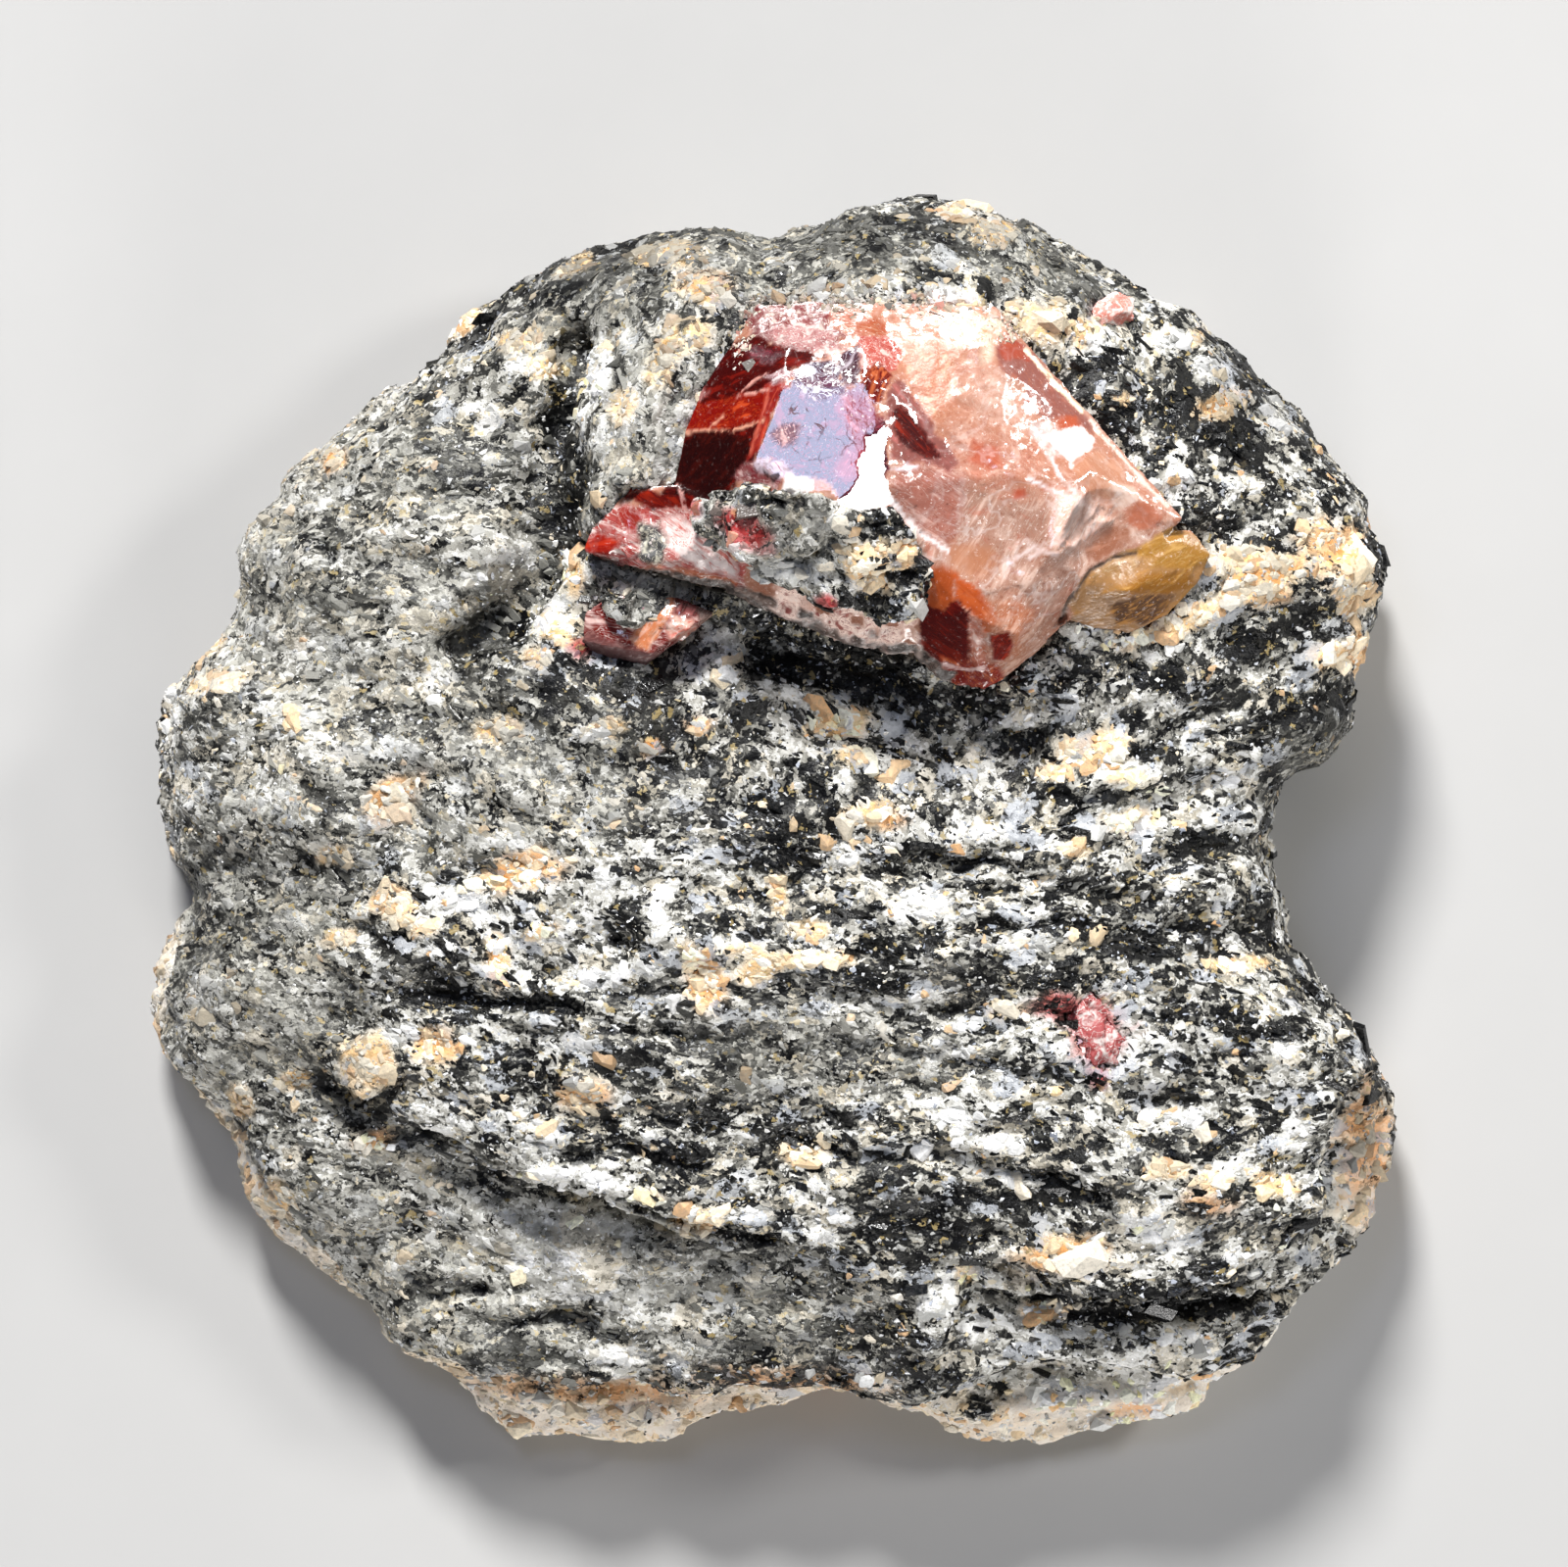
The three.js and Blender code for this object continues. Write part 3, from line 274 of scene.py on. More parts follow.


# broad parts of the rock that are darker (-) or paler (+): partly the rock's own tone, partly painted light
# and painted shade that even out how the lamps fall, such as paler rock in the shadows of ledges and grooves
# and darker rock on slopes facing
# the key lamp. Columns: centre, half lengths, turn, shift in lightness
TONES_AND_PAINTED_LIGHT = [
    (2.0, 26.8, 12.0, 2.8, 0, -0.19), (-9.5, 25.4, 4.0, 2.6, 30, -0.20),
    (22.6, 20.6, 3.6, 2.8, -45, -0.24), (-10.0, 5.4, 5.4, 2.6, 0, -0.12),
    (-12.6, 7.4, 2.0, 1.5, 0, -0.14), (-26.8, -5.4, 2.8, 3.4, 0, -0.18),
    (-20.5, -11.2, 2.6, 2.0, 0, -0.10), (-9.0, -11.6, 2.6, 1.8, 0, -0.15),
    (-1.0, -11.4, 2.4, 1.9, 0, -0.12), (8.6, -19.8, 4.4, 1.9, 0, -0.10),
    (10.2, -7.2, 2.4, 1.9, 0, -0.10), (25.4, 3.6, 2.2, 2.6, 0, -0.20), (22.4, 7.4, 2.6, 2.0, 0, -0.13),
    (2.4, 0.2, 2.2, 1.9, 0, -0.12), (-5.0, 2.0, 1.9, 3.2, 0, -0.09), (-12.2, -15.0, 1.9, 1.8, 0, -0.10),
    (18.8, -15.2, 3.2, 1.8, 0, -0.09), (17.0, -4.2, 2.0, 1.8, 0, -0.09),
    (25.0, -7.2, 2.0, 1.8, 0, -0.10), (21.0, -19.2, 1.9, 1.9, 0, -0.05),
    (-12.4, -25.8, 2.6, 2.0, 0, -0.18), (2.6, -26.0, 6.2, 1.8, 0, -0.10),
    (-5.0, 22.6, 1.8, 1.6, 0, -0.10), (-4.2, 4.2, 2.0, 1.8, 0, -0.05), (-9.2, 21.8, 2.0, 2.2, 0, 0.17),
    (-5.8, 18.4, 3.0, 2.2, -60, 0.14), (-11.9, 11.3, 2.0, 2.2, 0, 0.36),
    (-19.0, 6.8, 6.0, 2.2, -20, 0.09), (15.6, 7.2, 4.0, 2.0, 0, 0.09), (4.0, 5.4, 4.4, 2.0, -10, 0.07),
    (-23.6, 3.8, 2.2, 1.8, 0, 0.14), (-15.8, 0.2, 2.2, 1.9, 0, 0.07), (18.8, 0.2, 3.8, 2.0, 0, 0.08),
    (-9.6, -5.2, 4.8, 2.8, 0, 0.14), (15.8, -11.4, 3.4, 2.2, 0, 0.21),
    (-17.0, -15.2, 3.2, 2.0, -20, 0.18), (6.0, -15.0, 2.6, 1.8, 0, 0.10),
    (-10.6, -19.6, 4.2, 2.6, -10, 0.28), (-7.8, -22.8, 4.0, 1.8, 0, 0.12),
    (10.4, -22.6, 2.2, 2.0, 0, 0.22), (17.2, -18.8, 2.2, 1.9, 0, 0.14), (25.2, -17.4, 1.9, 3.0, 0, 0.11),
    (15.8, -26.4, 4.2, 1.8, 0, 0.14), (17.8, -27.6, 3.8, 1.0, 0, 0.08),
    (28.6, -15.4, 1.8, 3.4, 8, -0.22), (23.8, 11.6, 4.2, 1.7, -15, -0.11),
]


def patches(points, shapes, warp, edge=0.35):
    """1 inside the ellipses and 0 outside, with ragged edges."""
    found = np.zeros(len(points))
    for x, y, long, short, turn in shapes:
        c, s = math.cos(math.radians(turn)), math.sin(math.radians(turn))
        dx, dy = points[:, 0] - x, points[:, 1] - y
        reach = np.hypot((dx * c + dy * s) / long, (dy * c - dx * s) / short) + warp
        found = np.maximum(found, smooth(1 + edge, 1 - edge, reach))
    return found


def tone_and_painted_light(points):
    """Shift in lightness from the broad darker and paler parts, with soft borders: the rock's own tone mixed
    with painted light and shade.
    """
    warp = 0.3 * wave(points / 3.0, 35) + 0.15 * wave(points / 1.2, 36)
    return sum(shift * patches(points, [shape], warp, 0.6) for *shape, shift in TONES_AND_PAINTED_LIGHT)


def near_line(points, line):
    """Distance to a line seen from above."""
    gap = np.full(len(points), 1e9)
    x, y = points[:, 0], points[:, 1]
    for (ax, ay), (bx, by) in zip(line, line[1:]):
        along = (x - ax) * (bx - ax) + (y - ay) * (by - ay)
        t = np.clip(along / ((bx - ax) ** 2 + (by - ay) ** 2), 0, 1)
        gap = np.minimum(gap, np.hypot(x - ax - t * (bx - ax), y - ay - t * (by - ay)))
    return gap


def inside(points, outline, ragged, edge=0.08):
    """1 inside an outline seen from above and 0 outside, blurred over edge and moved by ragged."""
    within = np.zeros(len(points), bool)
    x, y = points[:, 0], points[:, 1]
    for (ax, ay), (bx, by) in zip(outline, outline[1:] + outline[:1]):
        crosses = (ay > y) != (by > y)
        within ^= crosses & (x < ax + (y - ay) / (by - ay if by != ay else 1) * (bx - ax))
    gap = near_line(points, outline + outline[:1])
    return smooth(-edge, edge, np.where(within, gap, -gap) + ragged)


def flow(points):
    """Coordinates that follow the rock's layers: along them, across them, and height."""
    c, s = math.cos(DIP), math.sin(DIP)
    dx, dy = points[:, 0] - CRYSTAL_MIDDLE[0], points[:, 1] - CRYSTAL_MIDDLE[1]
    u, v = dx * c + dy * s, dy * c - dx * s
    pull = CRYSTAL_REACH**2 / np.maximum(u * u + v * v, 2.5 * CRYSTAL_REACH**2)
    bend = 1.1 * wave(points / 9.0, 70) + 0.4 * wave(points / 3.4, 71)
    return np.stack([u * (1 + pull), v * (1 - pull) + bend, points[:, 2] * 0.8], axis=1)


def along_flow(points):
    """Unit direction of the layers, seen from above."""
    step = 0.05
    here = flow(points)[:, 1]
    gx = flow(points + [step, 0, 0])[:, 1] - here
    gy = flow(points + [0, step, 0])[:, 1] - here
    direction = np.stack([gy, -gx, np.zeros(len(gx))], axis=1)
    return direction / np.maximum(np.linalg.norm(direction, axis=1, keepdims=True), 1e-9)


def zones(points):
    """Share of each kind of rock at each point, from 0 to 1."""
    ragged = 0.35 * wave(points / 1.1, 31) + 0.25 * wave(points / 0.5, 32)
    layer = smooth(5.4, 4.4, points[:, 2] + 0.7 * wave(points / 2.2, 33) + 0.3 * wave(points / 0.8, 34))
    layer = layer * mix(0.25, 1.0, smooth(-12.0, -20.0, points[:, 1] + 0.4 * points[:, 0]))
    bulge = patches(points, [(28.4, -15.8, 1.6, 3.6, 8)], ragged) * smooth(9.6, 8.4, points[:, 2])
    return {
        "cream": patches(points, CREAM, ragged),
        "white": patches(points, WHITE, ragged),
        "dark": patches(points, DARK_AND_SHADOW, ragged),
        "dust": patches(points, DUST, 0.5 * ragged, 0.6),
        "pale": np.maximum(layer, bulge),
        "amber": patches(points, AMBER, ragged, 0.6),
        "red": patches(points, RED, ragged, 0.5),
    }


def tinge(zone):
    """Colour that multiplies the rock's greys."""
    colour = np.ones((len(zone["red"]), 3))
    colour = mix(colour, np.array([1.0, 0.78, 0.51]), 0.9 * zone["cream"])
    colour = mix(colour, np.array([1.0, 0.91, 0.81]), 0.8 * zone["pale"])
    colour = mix(colour, np.array([0.97, 0.60, 0.32]), 0.7 * zone["amber"])
    return mix(colour, np.array([0.85, 0.15, 0.16]), 0.9 * zone["red"])


# ---------------------------------------------------------------- meshes as arrays


def arrays(obj):
    """A mesh's points in millimetres and its triangles."""
    me = obj.data
    me.calc_loop_triangles()
    co = np.zeros(len(me.vertices) * 3)
    me.vertices.foreach_get("co", co)
    tri = np.zeros(len(me.loop_triangles) * 3, np.int32)
    me.loop_triangles.foreach_get("vertices", tri)
    return co.reshape(-1, 3) / MM, tri.reshape(-1, 3)


def welded(points, faces):
    """Merges vertices at the same place, which flat-shaded CAD meshes repeat."""
    keys = np.round(points, 4)
    unique, back = np.unique(keys, axis=0, return_inverse=True)
    return unique, back.reshape(-1)[faces]


def tree_of(points, faces):
    """A mesh as a tree that finds near places and hits of straight lines."""
    return BVHTree.FromPolygons(points.tolist(), faces.tolist())


def build(name, points, faces, material, smooth_faces=True):
    """A mesh object from points in millimetres."""
    me = bpy.data.meshes.new(name)
    me.from_pydata((points * MM).tolist(), [], faces.tolist())
    me.materials.append(material)
    me.polygons.foreach_set("use_smooth", np.full(len(me.polygons), smooth_faces))
    me.update()
    obj = bpy.data.objects.new(name, me)
    bpy.context.scene.collection.objects.link(obj)
    return obj


def attribute(obj, name, values):
    """Stores a number or a vector for each vertex."""
    values = np.asarray(values, float)
    kind, key = ("FLOAT", "value") if values.ndim == 1 else ("FLOAT_VECTOR", "vector")
    layer = obj.data.attributes.new(name, kind, "POINT")
    layer.data.foreach_set(key, np.ascontiguousarray(values, np.float32).ravel())


def remeshed(points, faces, pitch):
    """An even net of small quads over a closed shape."""
    temp = build("temp", points, faces, None)
    modifier = temp.modifiers.new("even", "REMESH")
    modifier.mode = "VOXEL"
    modifier.voxel_size = pitch * MM
    modifier.adaptivity = 0
    even = temp.evaluated_get(bpy.context.evaluated_depsgraph_get()).to_mesh()
    co = np.zeros(len(even.vertices) * 3)
    even.vertices.foreach_get("co", co)
    corners = np.zeros(len(even.loops), np.int32)
    even.loops.foreach_get("vertex_index", corners)
    quads = corners.reshape(-1, 4)
    me = temp.data
    bpy.data.objects.remove(temp)
    bpy.data.meshes.remove(me)
    return co.reshape(-1, 3) / MM, quads


def normals_of(points, faces):
    """Each point's normal, weighted by the areas of its faces."""
    a, b, c = points[faces[:, 0]], points[faces[:, 1]], points[faces[:, 2]]
    face = np.cross(b - a, c - a)
    if faces.shape[1] == 4:
        face = face + np.cross(c - a, points[faces[:, 3]] - a)
    total = np.zeros_like(points)
    for k in range(faces.shape[1]):
        for axis in range(3):
            total[:, axis] += np.bincount(faces[:, k], face[:, axis], len(points))
    return total / np.maximum(np.linalg.norm(total, axis=1, keepdims=True), 1e-12)


def nearest(tree, points, reach):
    """Nearest place, its normal and distance on a mesh; far points get an infinite distance."""
    at, normal, gap = points.copy(), np.zeros_like(points), np.full(len(points), np.inf)
    for i, p in enumerate(points):
        place, direction, _, distance = tree.find_nearest(p, reach)
        if place is not None:
            at[i], normal[i], gap[i] = place, direction, distance
    return at, normal, gap


ABOVE = 40.0


def drop(tree, x, y):
    """Where a straight line down from above the part meets a mesh: place and normal, or None twice."""
    place, normal, _, _ = tree.ray_cast(Vector((x, y, ABOVE)), Vector((0, 0, -1)))
    return place, normal


# ---------------------------------------------------------------- node trees


class Shader:
    """Makes a material's nodes with few words. A value is a number, a colour or another node's socket."""

    def __init__(self, name):
        self.material = bpy.data.materials.new(name)
        self.material.use_nodes = True
        self.tree = self.material.node_tree
        self.tree.nodes.clear()

    def node(self, kind, out=0, inputs=None, **settings):
        """A new node; gives back one of its outputs."""
        made = self.tree.nodes.new("ShaderNode" + kind)
        for key, value in settings.items():
            setattr(made, key, value)
        for key, value in (inputs or {}).items():
            self.put(made.inputs[key], value)
        return made.outputs[out]

    def put(self, socket, value):
        """Sets or links an input."""
        if isinstance(value, bpy.types.NodeSocket):
            self.tree.links.new(value, socket)
        elif isinstance(value, (tuple, list)) and socket.type == "RGBA":
            socket.default_value = (*value, 1.0)
        else:
            socket.default_value = value

    def read(self, name, out="Fac"):
        """A number or a vector that the mesh holds for each vertex."""
        return self.node("Attribute", out, attribute_name=name)

    def maths(self, operation, a, b=0.0, clamp=False):
        return self.node("Math", inputs={0: a, 1: b}, operation=operation, use_clamp=clamp)

    def step(self, value, low, high, a=0.0, b=1.0):
        """Goes softly from a to b while value goes from low to high."""
        wanted = {"Value": value, "From Min": low, "From Max": high, "To Min": a, "To Max": b}
        return self.node("MapRange", inputs=wanted, interpolation_type="SMOOTHSTEP")

    def blend(self, share, a, b, blend_type="MIX"):
        """Colour a where share is 0 and b laid over it where share is 1."""
        made = self.tree.nodes.new("ShaderNodeMix")
        made.data_type, made.blend_type = "RGBA", blend_type
        for key, value in ((0, share), (6, a), (7, b)):
            self.put(made.inputs[key], value)
        return made.outputs[2]

    def ramp(self, value, *stops):
        """A colour read from stops, each a place from 0 to 1 and its colour."""
        made = self.tree.nodes.new("ShaderNodeValToRGB")
        self.put(made.inputs["Fac"], value)
        points = made.color_ramp.elements
        while len(points) < len(stops):
            points.new(0.5)
        for point, (at, colour) in zip(points, stops):
            point.position, point.color = at, (*colour, 1)
        return made.outputs["Color"]

    def scaled(self, vector, scale):
        return self.node("Mapping", inputs={"Vector": vector, "Scale": scale})

    def millimetres(self):
        """The object's own coordinates in millimetres."""
        return self.scaled(self.node("TexCoord", "Object"), (1000, 1000, 1000))

    def noise(self, vector, scale, detail=2.0, rough=0.5, distortion=0.0):
        wanted = {"Vector": vector, "Scale": scale, "Detail": detail, "Roughness": rough}
        return self.node("TexNoise", inputs=dict(wanted, Distortion=distortion))

    def voronoi(self, vector, scale, out="Distance", feature="F1"):
        return self.node("TexVoronoi", out, {"Vector": vector, "Scale": scale}, feature=feature)

    def channel(self, colour, index):
        return self.node("SeparateColor", index, {"Color": colour})

    def bump(self, height, distance, strength, under=None):
        """A normal bent by a height, on top of the normal under it."""
        wanted = {"Height": height, "Distance": distance, "Strength": strength}
        if under is not None:
            wanted["Normal"] = under
        return self.node("Bump", inputs=wanted)

    def finish(self, volume=None, **inputs):
        """Closes the material. Inputs are named after the surface shader's sockets."""
        wanted = {key.replace("_", " "): value for key, value in inputs.items()}
        surface = self.node("BsdfPrincipled", inputs=wanted)
        output = self.tree.nodes.new("ShaderNodeOutputMaterial")
        self.put(output.inputs["Surface"], surface)
        if volume is not None:
            self.put(output.inputs["Volume"], volume)
        return self.material


def rock_material():
    """Gneiss: grains of three sizes from black to white, stretched along the layers and stained by tinge."""
    s = Shader("gneiss")
    place = s.millimetres()
    long = s.scaled(s.read("flow", "Vector"), (0.62, 1, 1))
    wobble = s.node("TexNoise", "Color", {"Vector": place, "Scale": 1.9, "Detail": 3.0, "Roughness": 0.65})
    shifted = s.node("VectorMath", inputs={0: wobble, 1: (0.5, 0.5, 0.5)}, operation="SUBTRACT")
    shift = s.node("VectorMath", inputs={0: shifted, "Scale": 0.75}, operation="SCALE")
    ragged = s.node("VectorMath", inputs={0: long, 1: shift}, operation="ADD")
    cream, white, dark = s.read("cream"), s.read("white"), s.read("dark")
    dust, pale, pit_shade = s.read("dust"), s.read("pale"), s.read("pit_shade")

    # three sizes of mineral grain, each with its own lightness, added into one level
    coarse, middling = s.voronoi(ragged, 1.15, "Color"), s.voronoi(ragged, 2.7, "Color")
    fine = s.voronoi(ragged, 5.0, "Color")
    level = s.maths("MULTIPLY", s.channel(coarse, 0), s.step(dust, 0.0, 1.0, 0.35, 0.16))
    fine_share = s.step(dust, 0.0, 1.0, 0.30, 0.49)
    for source, share in ((s.channel(middling, 0), 0.35), (s.channel(fine, 0), fine_share)):
        level = s.node("Math", inputs={0: source, 1: share, 2: level}, operation="MULTIPLY_ADD")
    # the rock's own broad tone, together with painted light and painted shade
    level = s.maths("ADD", level, s.read("tone_and_painted_light"))
    # pit_shade is painted shade in the hollows; dark holds painted shadow as well as dark minerals
    for mask, share in ((white, 0.27), (cream, 0.42), (pale, 0.50), (dark, -0.19), (pit_shade, -0.30)):
        level = s.node("Math", inputs={0: mask, 1: share, 2: level}, operation="MULTIPLY_ADD")
    # dust evens out the contrast
    missing = s.maths("SUBTRACT", 0.53, level)
    evened = s.maths("MULTIPLY", missing, s.maths("MULTIPLY", dust, 0.35))
    level = s.maths("ADD", level, evened)
    tone = s.ramp(
        level, (0.31, (0.001, 0.001, 0.0015)), (0.36, (0.007, 0.007, 0.007)), (0.43, (0.095, 0.093, 0.082)),
        (0.52, (0.30, 0.29, 0.255)), (0.66, (0.60, 0.59, 0.55)), (0.84, (0.86, 0.855, 0.83)),
    )
    veil = s.noise(place, 0.55, 4.0, 0.6)
    veil = s.maths("MULTIPLY", s.step(veil, 0.42, 0.62), s.step(dust, 0.0, 1.0, 0.10, 0.7))
    veil = s.maths("MULTIPLY", veil, s.step(level, 0.34, 0.46, 0.35, 1.0))
    powder = s.blend(s.channel(fine, 2), (0.10, 0.098, 0.085), (0.56, 0.55, 0.49))
    colour = s.blend(veil, tone, powder)
    stain = s.read("tinge", "Color")
    deeper = s.blend(1.0, stain, stain, "MULTIPLY")
    colour = s.blend(1.0, colour, s.blend(s.channel(middling, 2), stain, deeper), "MULTIPLY")
    # a few tan grains, specks of gold, and a grey-blue painted sheen on the mica, standing for the sky
    # mirrored in its glossy flakes
    tan = s.step(s.channel(coarse, 2), 0.72, 0.8)
    tan = s.maths("MULTIPLY", tan, s.step(level, 0.42, 0.52))
    browned = s.blend(1.0, colour, (1.0, 0.87, 0.66), "MULTIPLY")
    colour = s.blend(s.maths("MULTIPLY", tan, 0.45), colour, browned)
    mica_sheen = s.step(s.channel(coarse, 1), 0.86, 0.9)
    mica_sheen = s.maths("MULTIPLY", mica_sheen, s.step(level, 0.36, 0.5))
    mica_sheen = s.maths("MULTIPLY", mica_sheen, s.step(dust, 1.0, 0.0, 0.3, 1.0))
    colour = s.blend(s.maths("MULTIPLY", mica_sheen, 0.6), colour, (0.38, 0.41, 0.47))
    gold = s.step(s.channel(fine, 1), 0.965, 0.975)
    colour = s.blend(s.maths("MULTIPLY", gold, 0.45), colour, (0.60, 0.46, 0.20))

    rough = s.step(level, 0.36, 0.6, 0.42, 0.8)
    rough = s.step(mica_sheen, 0.0, 1.0, rough, 0.3)
    normal = s.bump(level, 0.0003, 0.6)
    normal = s.bump(s.noise(place, 7.0, 1.0, 0.7), 0.00008, 0.6, normal)
    return s.finish(Base_Color=colour, Roughness=rough, Normal=normal, Specular_IOR_Level=0.22)


def grain_material(name, roughness, specular, cloudy):
    """Crystalline grains: their own tint, clouded and dirtied by fine noise."""
    s = Shader(name)
    place = s.millimetres()
    tint = s.read("tint", "Color")
    cloud = s.noise(place, 5.0, 4.0, 0.65)
    dirt = s.noise(place, 2.1, 3.0, 0.6)
    colour = s.blend(s.step(cloud, 0.4, 0.72, 0.0, cloudy), tint, (0.2, 0.19, 0.17))
    colour = s.blend(s.step(dirt, 0.55, 0.75, 0.0, cloudy), colour, (0.34, 0.32, 0.27))
    rough = s.step(cloud, 0.35, 0.75, roughness * 0.7, min(1.0, roughness * 1.7))
    normal = s.bump(s.noise(place, 8.0, 1.0, 0.6), 0.00006, 0.5)
    return s.finish(Base_Color=colour, Roughness=rough, Normal=normal, Specular_IOR_Level=specular)


def zircon_material():
    """Zircon, from clear red to milky, streaked and dusty, as the attributes of the mesh say."""
    s = Shader("zircon")
    place = s.millimetres()
    tint, accent, way = s.read("tint", "Color"), s.read("accent", "Color"), s.read("way", "Vector")
    streaks, milk, clear, gloss = s.read("streaks"), s.read("milk"), s.read("clear"), s.read("gloss")

    # streaks, thin threads, milky clouds, pale veils, then light and dark specks
    wander = s.noise(way, 1.0, 3.0, 0.6, 0.4)
    band = s.maths("MULTIPLY", s.step(wander, 0.5, 0.66), streaks)
    thread = s.step(s.maths("ABSOLUTE", s.maths("SUBTRACT", wander, 0.47)), 0.014, 0.004)
    colour = s.blend(s.maths("MAXIMUM", band, s.maths("MULTIPLY", thread, streaks)), tint, accent)
    cloud = s.noise(place, 0.7, 6.0, 0.72, 0.9)
    cloudy = s.maths("MULTIPLY", s.step(cloud, 0.50, 0.72), milk)
    colour = s.blend(cloudy, colour, (0.78, 0.60, 0.51))
    blush = s.maths("MULTIPLY", s.step(cloud, 0.47, 0.33), milk)
    colour = s.blend(s.maths("MULTIPLY", blush, 0.7), colour, (0.56, 0.14, 0.08))
    ridge = s.maths("ABSOLUTE", s.maths("SUBTRACT", s.noise(place, 0.4, 3.0, 0.55, 0.3), 0.5))
    veil = s.maths("MULTIPLY", s.step(ridge, 0.03, 0.0), s.maths("MULTIPLY", milk, 0.4))
    colour = s.blend(veil, colour, (0.88, 0.80, 0.78))
    sparks = s.read("sparks")
    fleck = s.noise(place, 4.2, 3.0, 0.7)
    spark = s.maths("MULTIPLY", s.step(fleck, 0.59, 0.70), sparks)
    colour = s.blend(s.maths("MULTIPLY", spark, 0.8), colour, (0.90, 0.78, 0.73))
    speck = s.maths("MULTIPLY", s.step(fleck, 0.42, 0.32), s.maths("MULTIPLY", sparks, 0.5))
    colour = s.blend(speck, colour, s.blend(1.0, colour, colour, "MULTIPLY"))

    # fine branching cracks, open on the mirror face and faint elsewhere
    crackle = s.node("TexNoise", "Color", {"Vector": place, "Scale": 1.3, "Detail": 4.0})
    warped = s.node("VectorMath", inputs={0: place, 1: crackle}, operation="ADD")
    split = s.voronoi(warped, 1.0, "Distance", "DISTANCE_TO_EDGE")
    crack = s.maths("MULTIPLY", s.step(split, 0.045, 0.015), s.read("cracks"))
    crack = s.maths("MULTIPLY", crack, s.step(s.noise(place, 0.6, 3.0, 0.7), 0.5, 0.6))
    colour = s.blend(crack, colour, (0.06, 0.004, 0.006))

    # light goes through only where nothing of that covers the crystal
    hidden = s.maths("MAXIMUM", s.maths("MAXIMUM", band, cloudy), s.maths("MAXIMUM", spark, crack))
    hidden = s.maths("MAXIMUM", hidden, veil)
    through = s.maths("MULTIPLY", clear, s.maths("SUBTRACT", 1.0, hidden), True)
    rough = s.maths("ADD", gloss, s.maths("MULTIPLY", crack, 0.5), True)

    # splinters: each small cell of the broken faces leans its own way
    lean = s.voronoi(warped, 0.9, "Color")
    lean_fine = s.voronoi(warped, 2.4, "Color")
    both = s.node("VectorMath", inputs={0: lean, 1: lean_fine}, operation="ADD")
    centred = s.node("VectorMath", inputs={0: both, 1: (1.0, 1.0, 1.0)}, operation="SUBTRACT")
    leaning = s.node("VectorMath", inputs={0: centred, "Scale": s.read("broken")}, operation="SCALE")
    facing = s.node("NewGeometry", "Normal")
    steep = s.maths("SUBTRACT", 1.0, s.node("SeparateXYZ", "Z", {0: facing}))
    raised = s.node("CombineXYZ", inputs={2: s.maths("MULTIPLY", steep, 2.2)})
    turned = s.node("VectorMath", inputs={0: facing, 1: leaning}, operation="ADD")
    turned = s.node("VectorMath", inputs={0: turned, 1: raised}, operation="ADD")
    turned = s.node("VectorMath", inputs={0: turned, 1: s.read("tilt", "Vector")}, operation="ADD")
    normal = s.node("VectorMath", inputs={0: turned}, operation="NORMALIZE")
    normal = s.bump(s.noise(place, 2.2, 2.0, 0.65), 0.00006, s.maths("MULTIPLY", gloss, 2.0, True), normal)
    inside = s.node("VolumeAbsorption", inputs={"Color": (0.90, 0.06, 0.03), "Density": 300.0})
    return s.finish(
        volume=inside, Base_Color=colour, Roughness=rough, Normal=normal, IOR=1.95,
        Transmission_Weight=through, Specular_IOR_Level=0.3,
    )


def floor_material():
    """Plain pale board."""
    s = Shader("floor")
    place = s.node("TexCoord", "Object")
    grain = s.noise(place, 60.0, 4.0, 0.6)
    colour = s.blend(grain, (0.43, 0.427, 0.42), (0.47, 0.467, 0.46))
    return s.finish(Base_Color=colour, Roughness=0.8)


# ---------------------------------------------------------------- the rock

ROCK_PITCH, CRUST_PITCH = 0.335, 0.2
SMOOTHING = 0.3
ROCK_ROUNDS, CRUST_ROUNDS = 2, 9
SPLINTER = [0.36, 1.0, 1.0]
LAYER_GAP = 1.15


def ledge_relief(points):
    """Height added along the ledges: a lip on one side and a step down on the other."""
    up = np.zeros(len(points))
    wander = 0.5 * wave(points / 1.7, 81) + 0.2 * wave(points / 0.6, 82)
    x, y = points[:, 0], points[:, 1]
    for line, height, back in LEDGES:
        best, signed, along = np.full(len(points), 1e9), np.zeros(len(points)), np.zeros(len(points))
        for i, ((ax, ay), (bx, by)) in enumerate(zip(line, line[1:])):
            dx, dy = bx - ax, by - ay
            t = np.clip(((x - ax) * dx + (y - ay) * dy) / (dx * dx + dy * dy), 0, 1)
            gap = np.hypot(x - ax - t * dx, y - ay - t * dy)
            side = np.sign(dx * (y - ay) - dy * (x - ax))
            nearer = gap < best
            best = np.where(nearer, gap, best)
            signed = np.where(nearer, gap * side, signed)
            along = np.where(nearer, (i + t) / (len(line) - 1), along)
        signed = signed + wander
        ends = smooth(0.0, 0.12, along) * smooth(1.0, 0.88, along)
        lip = 0.55 * height * smooth(-0.12, 0.18, signed) * smooth(back, 0.0, signed)
        step = 0.75 * height * smooth(0.15, -0.15, signed) * smooth(-back, 0.0, signed)
        up += ends * (lip - step)
    for line, depth, width in GROOVES:
        up -= depth * np.exp(-((near_line(points, line) + 0.25 * wander) / width) ** 2)
    return up


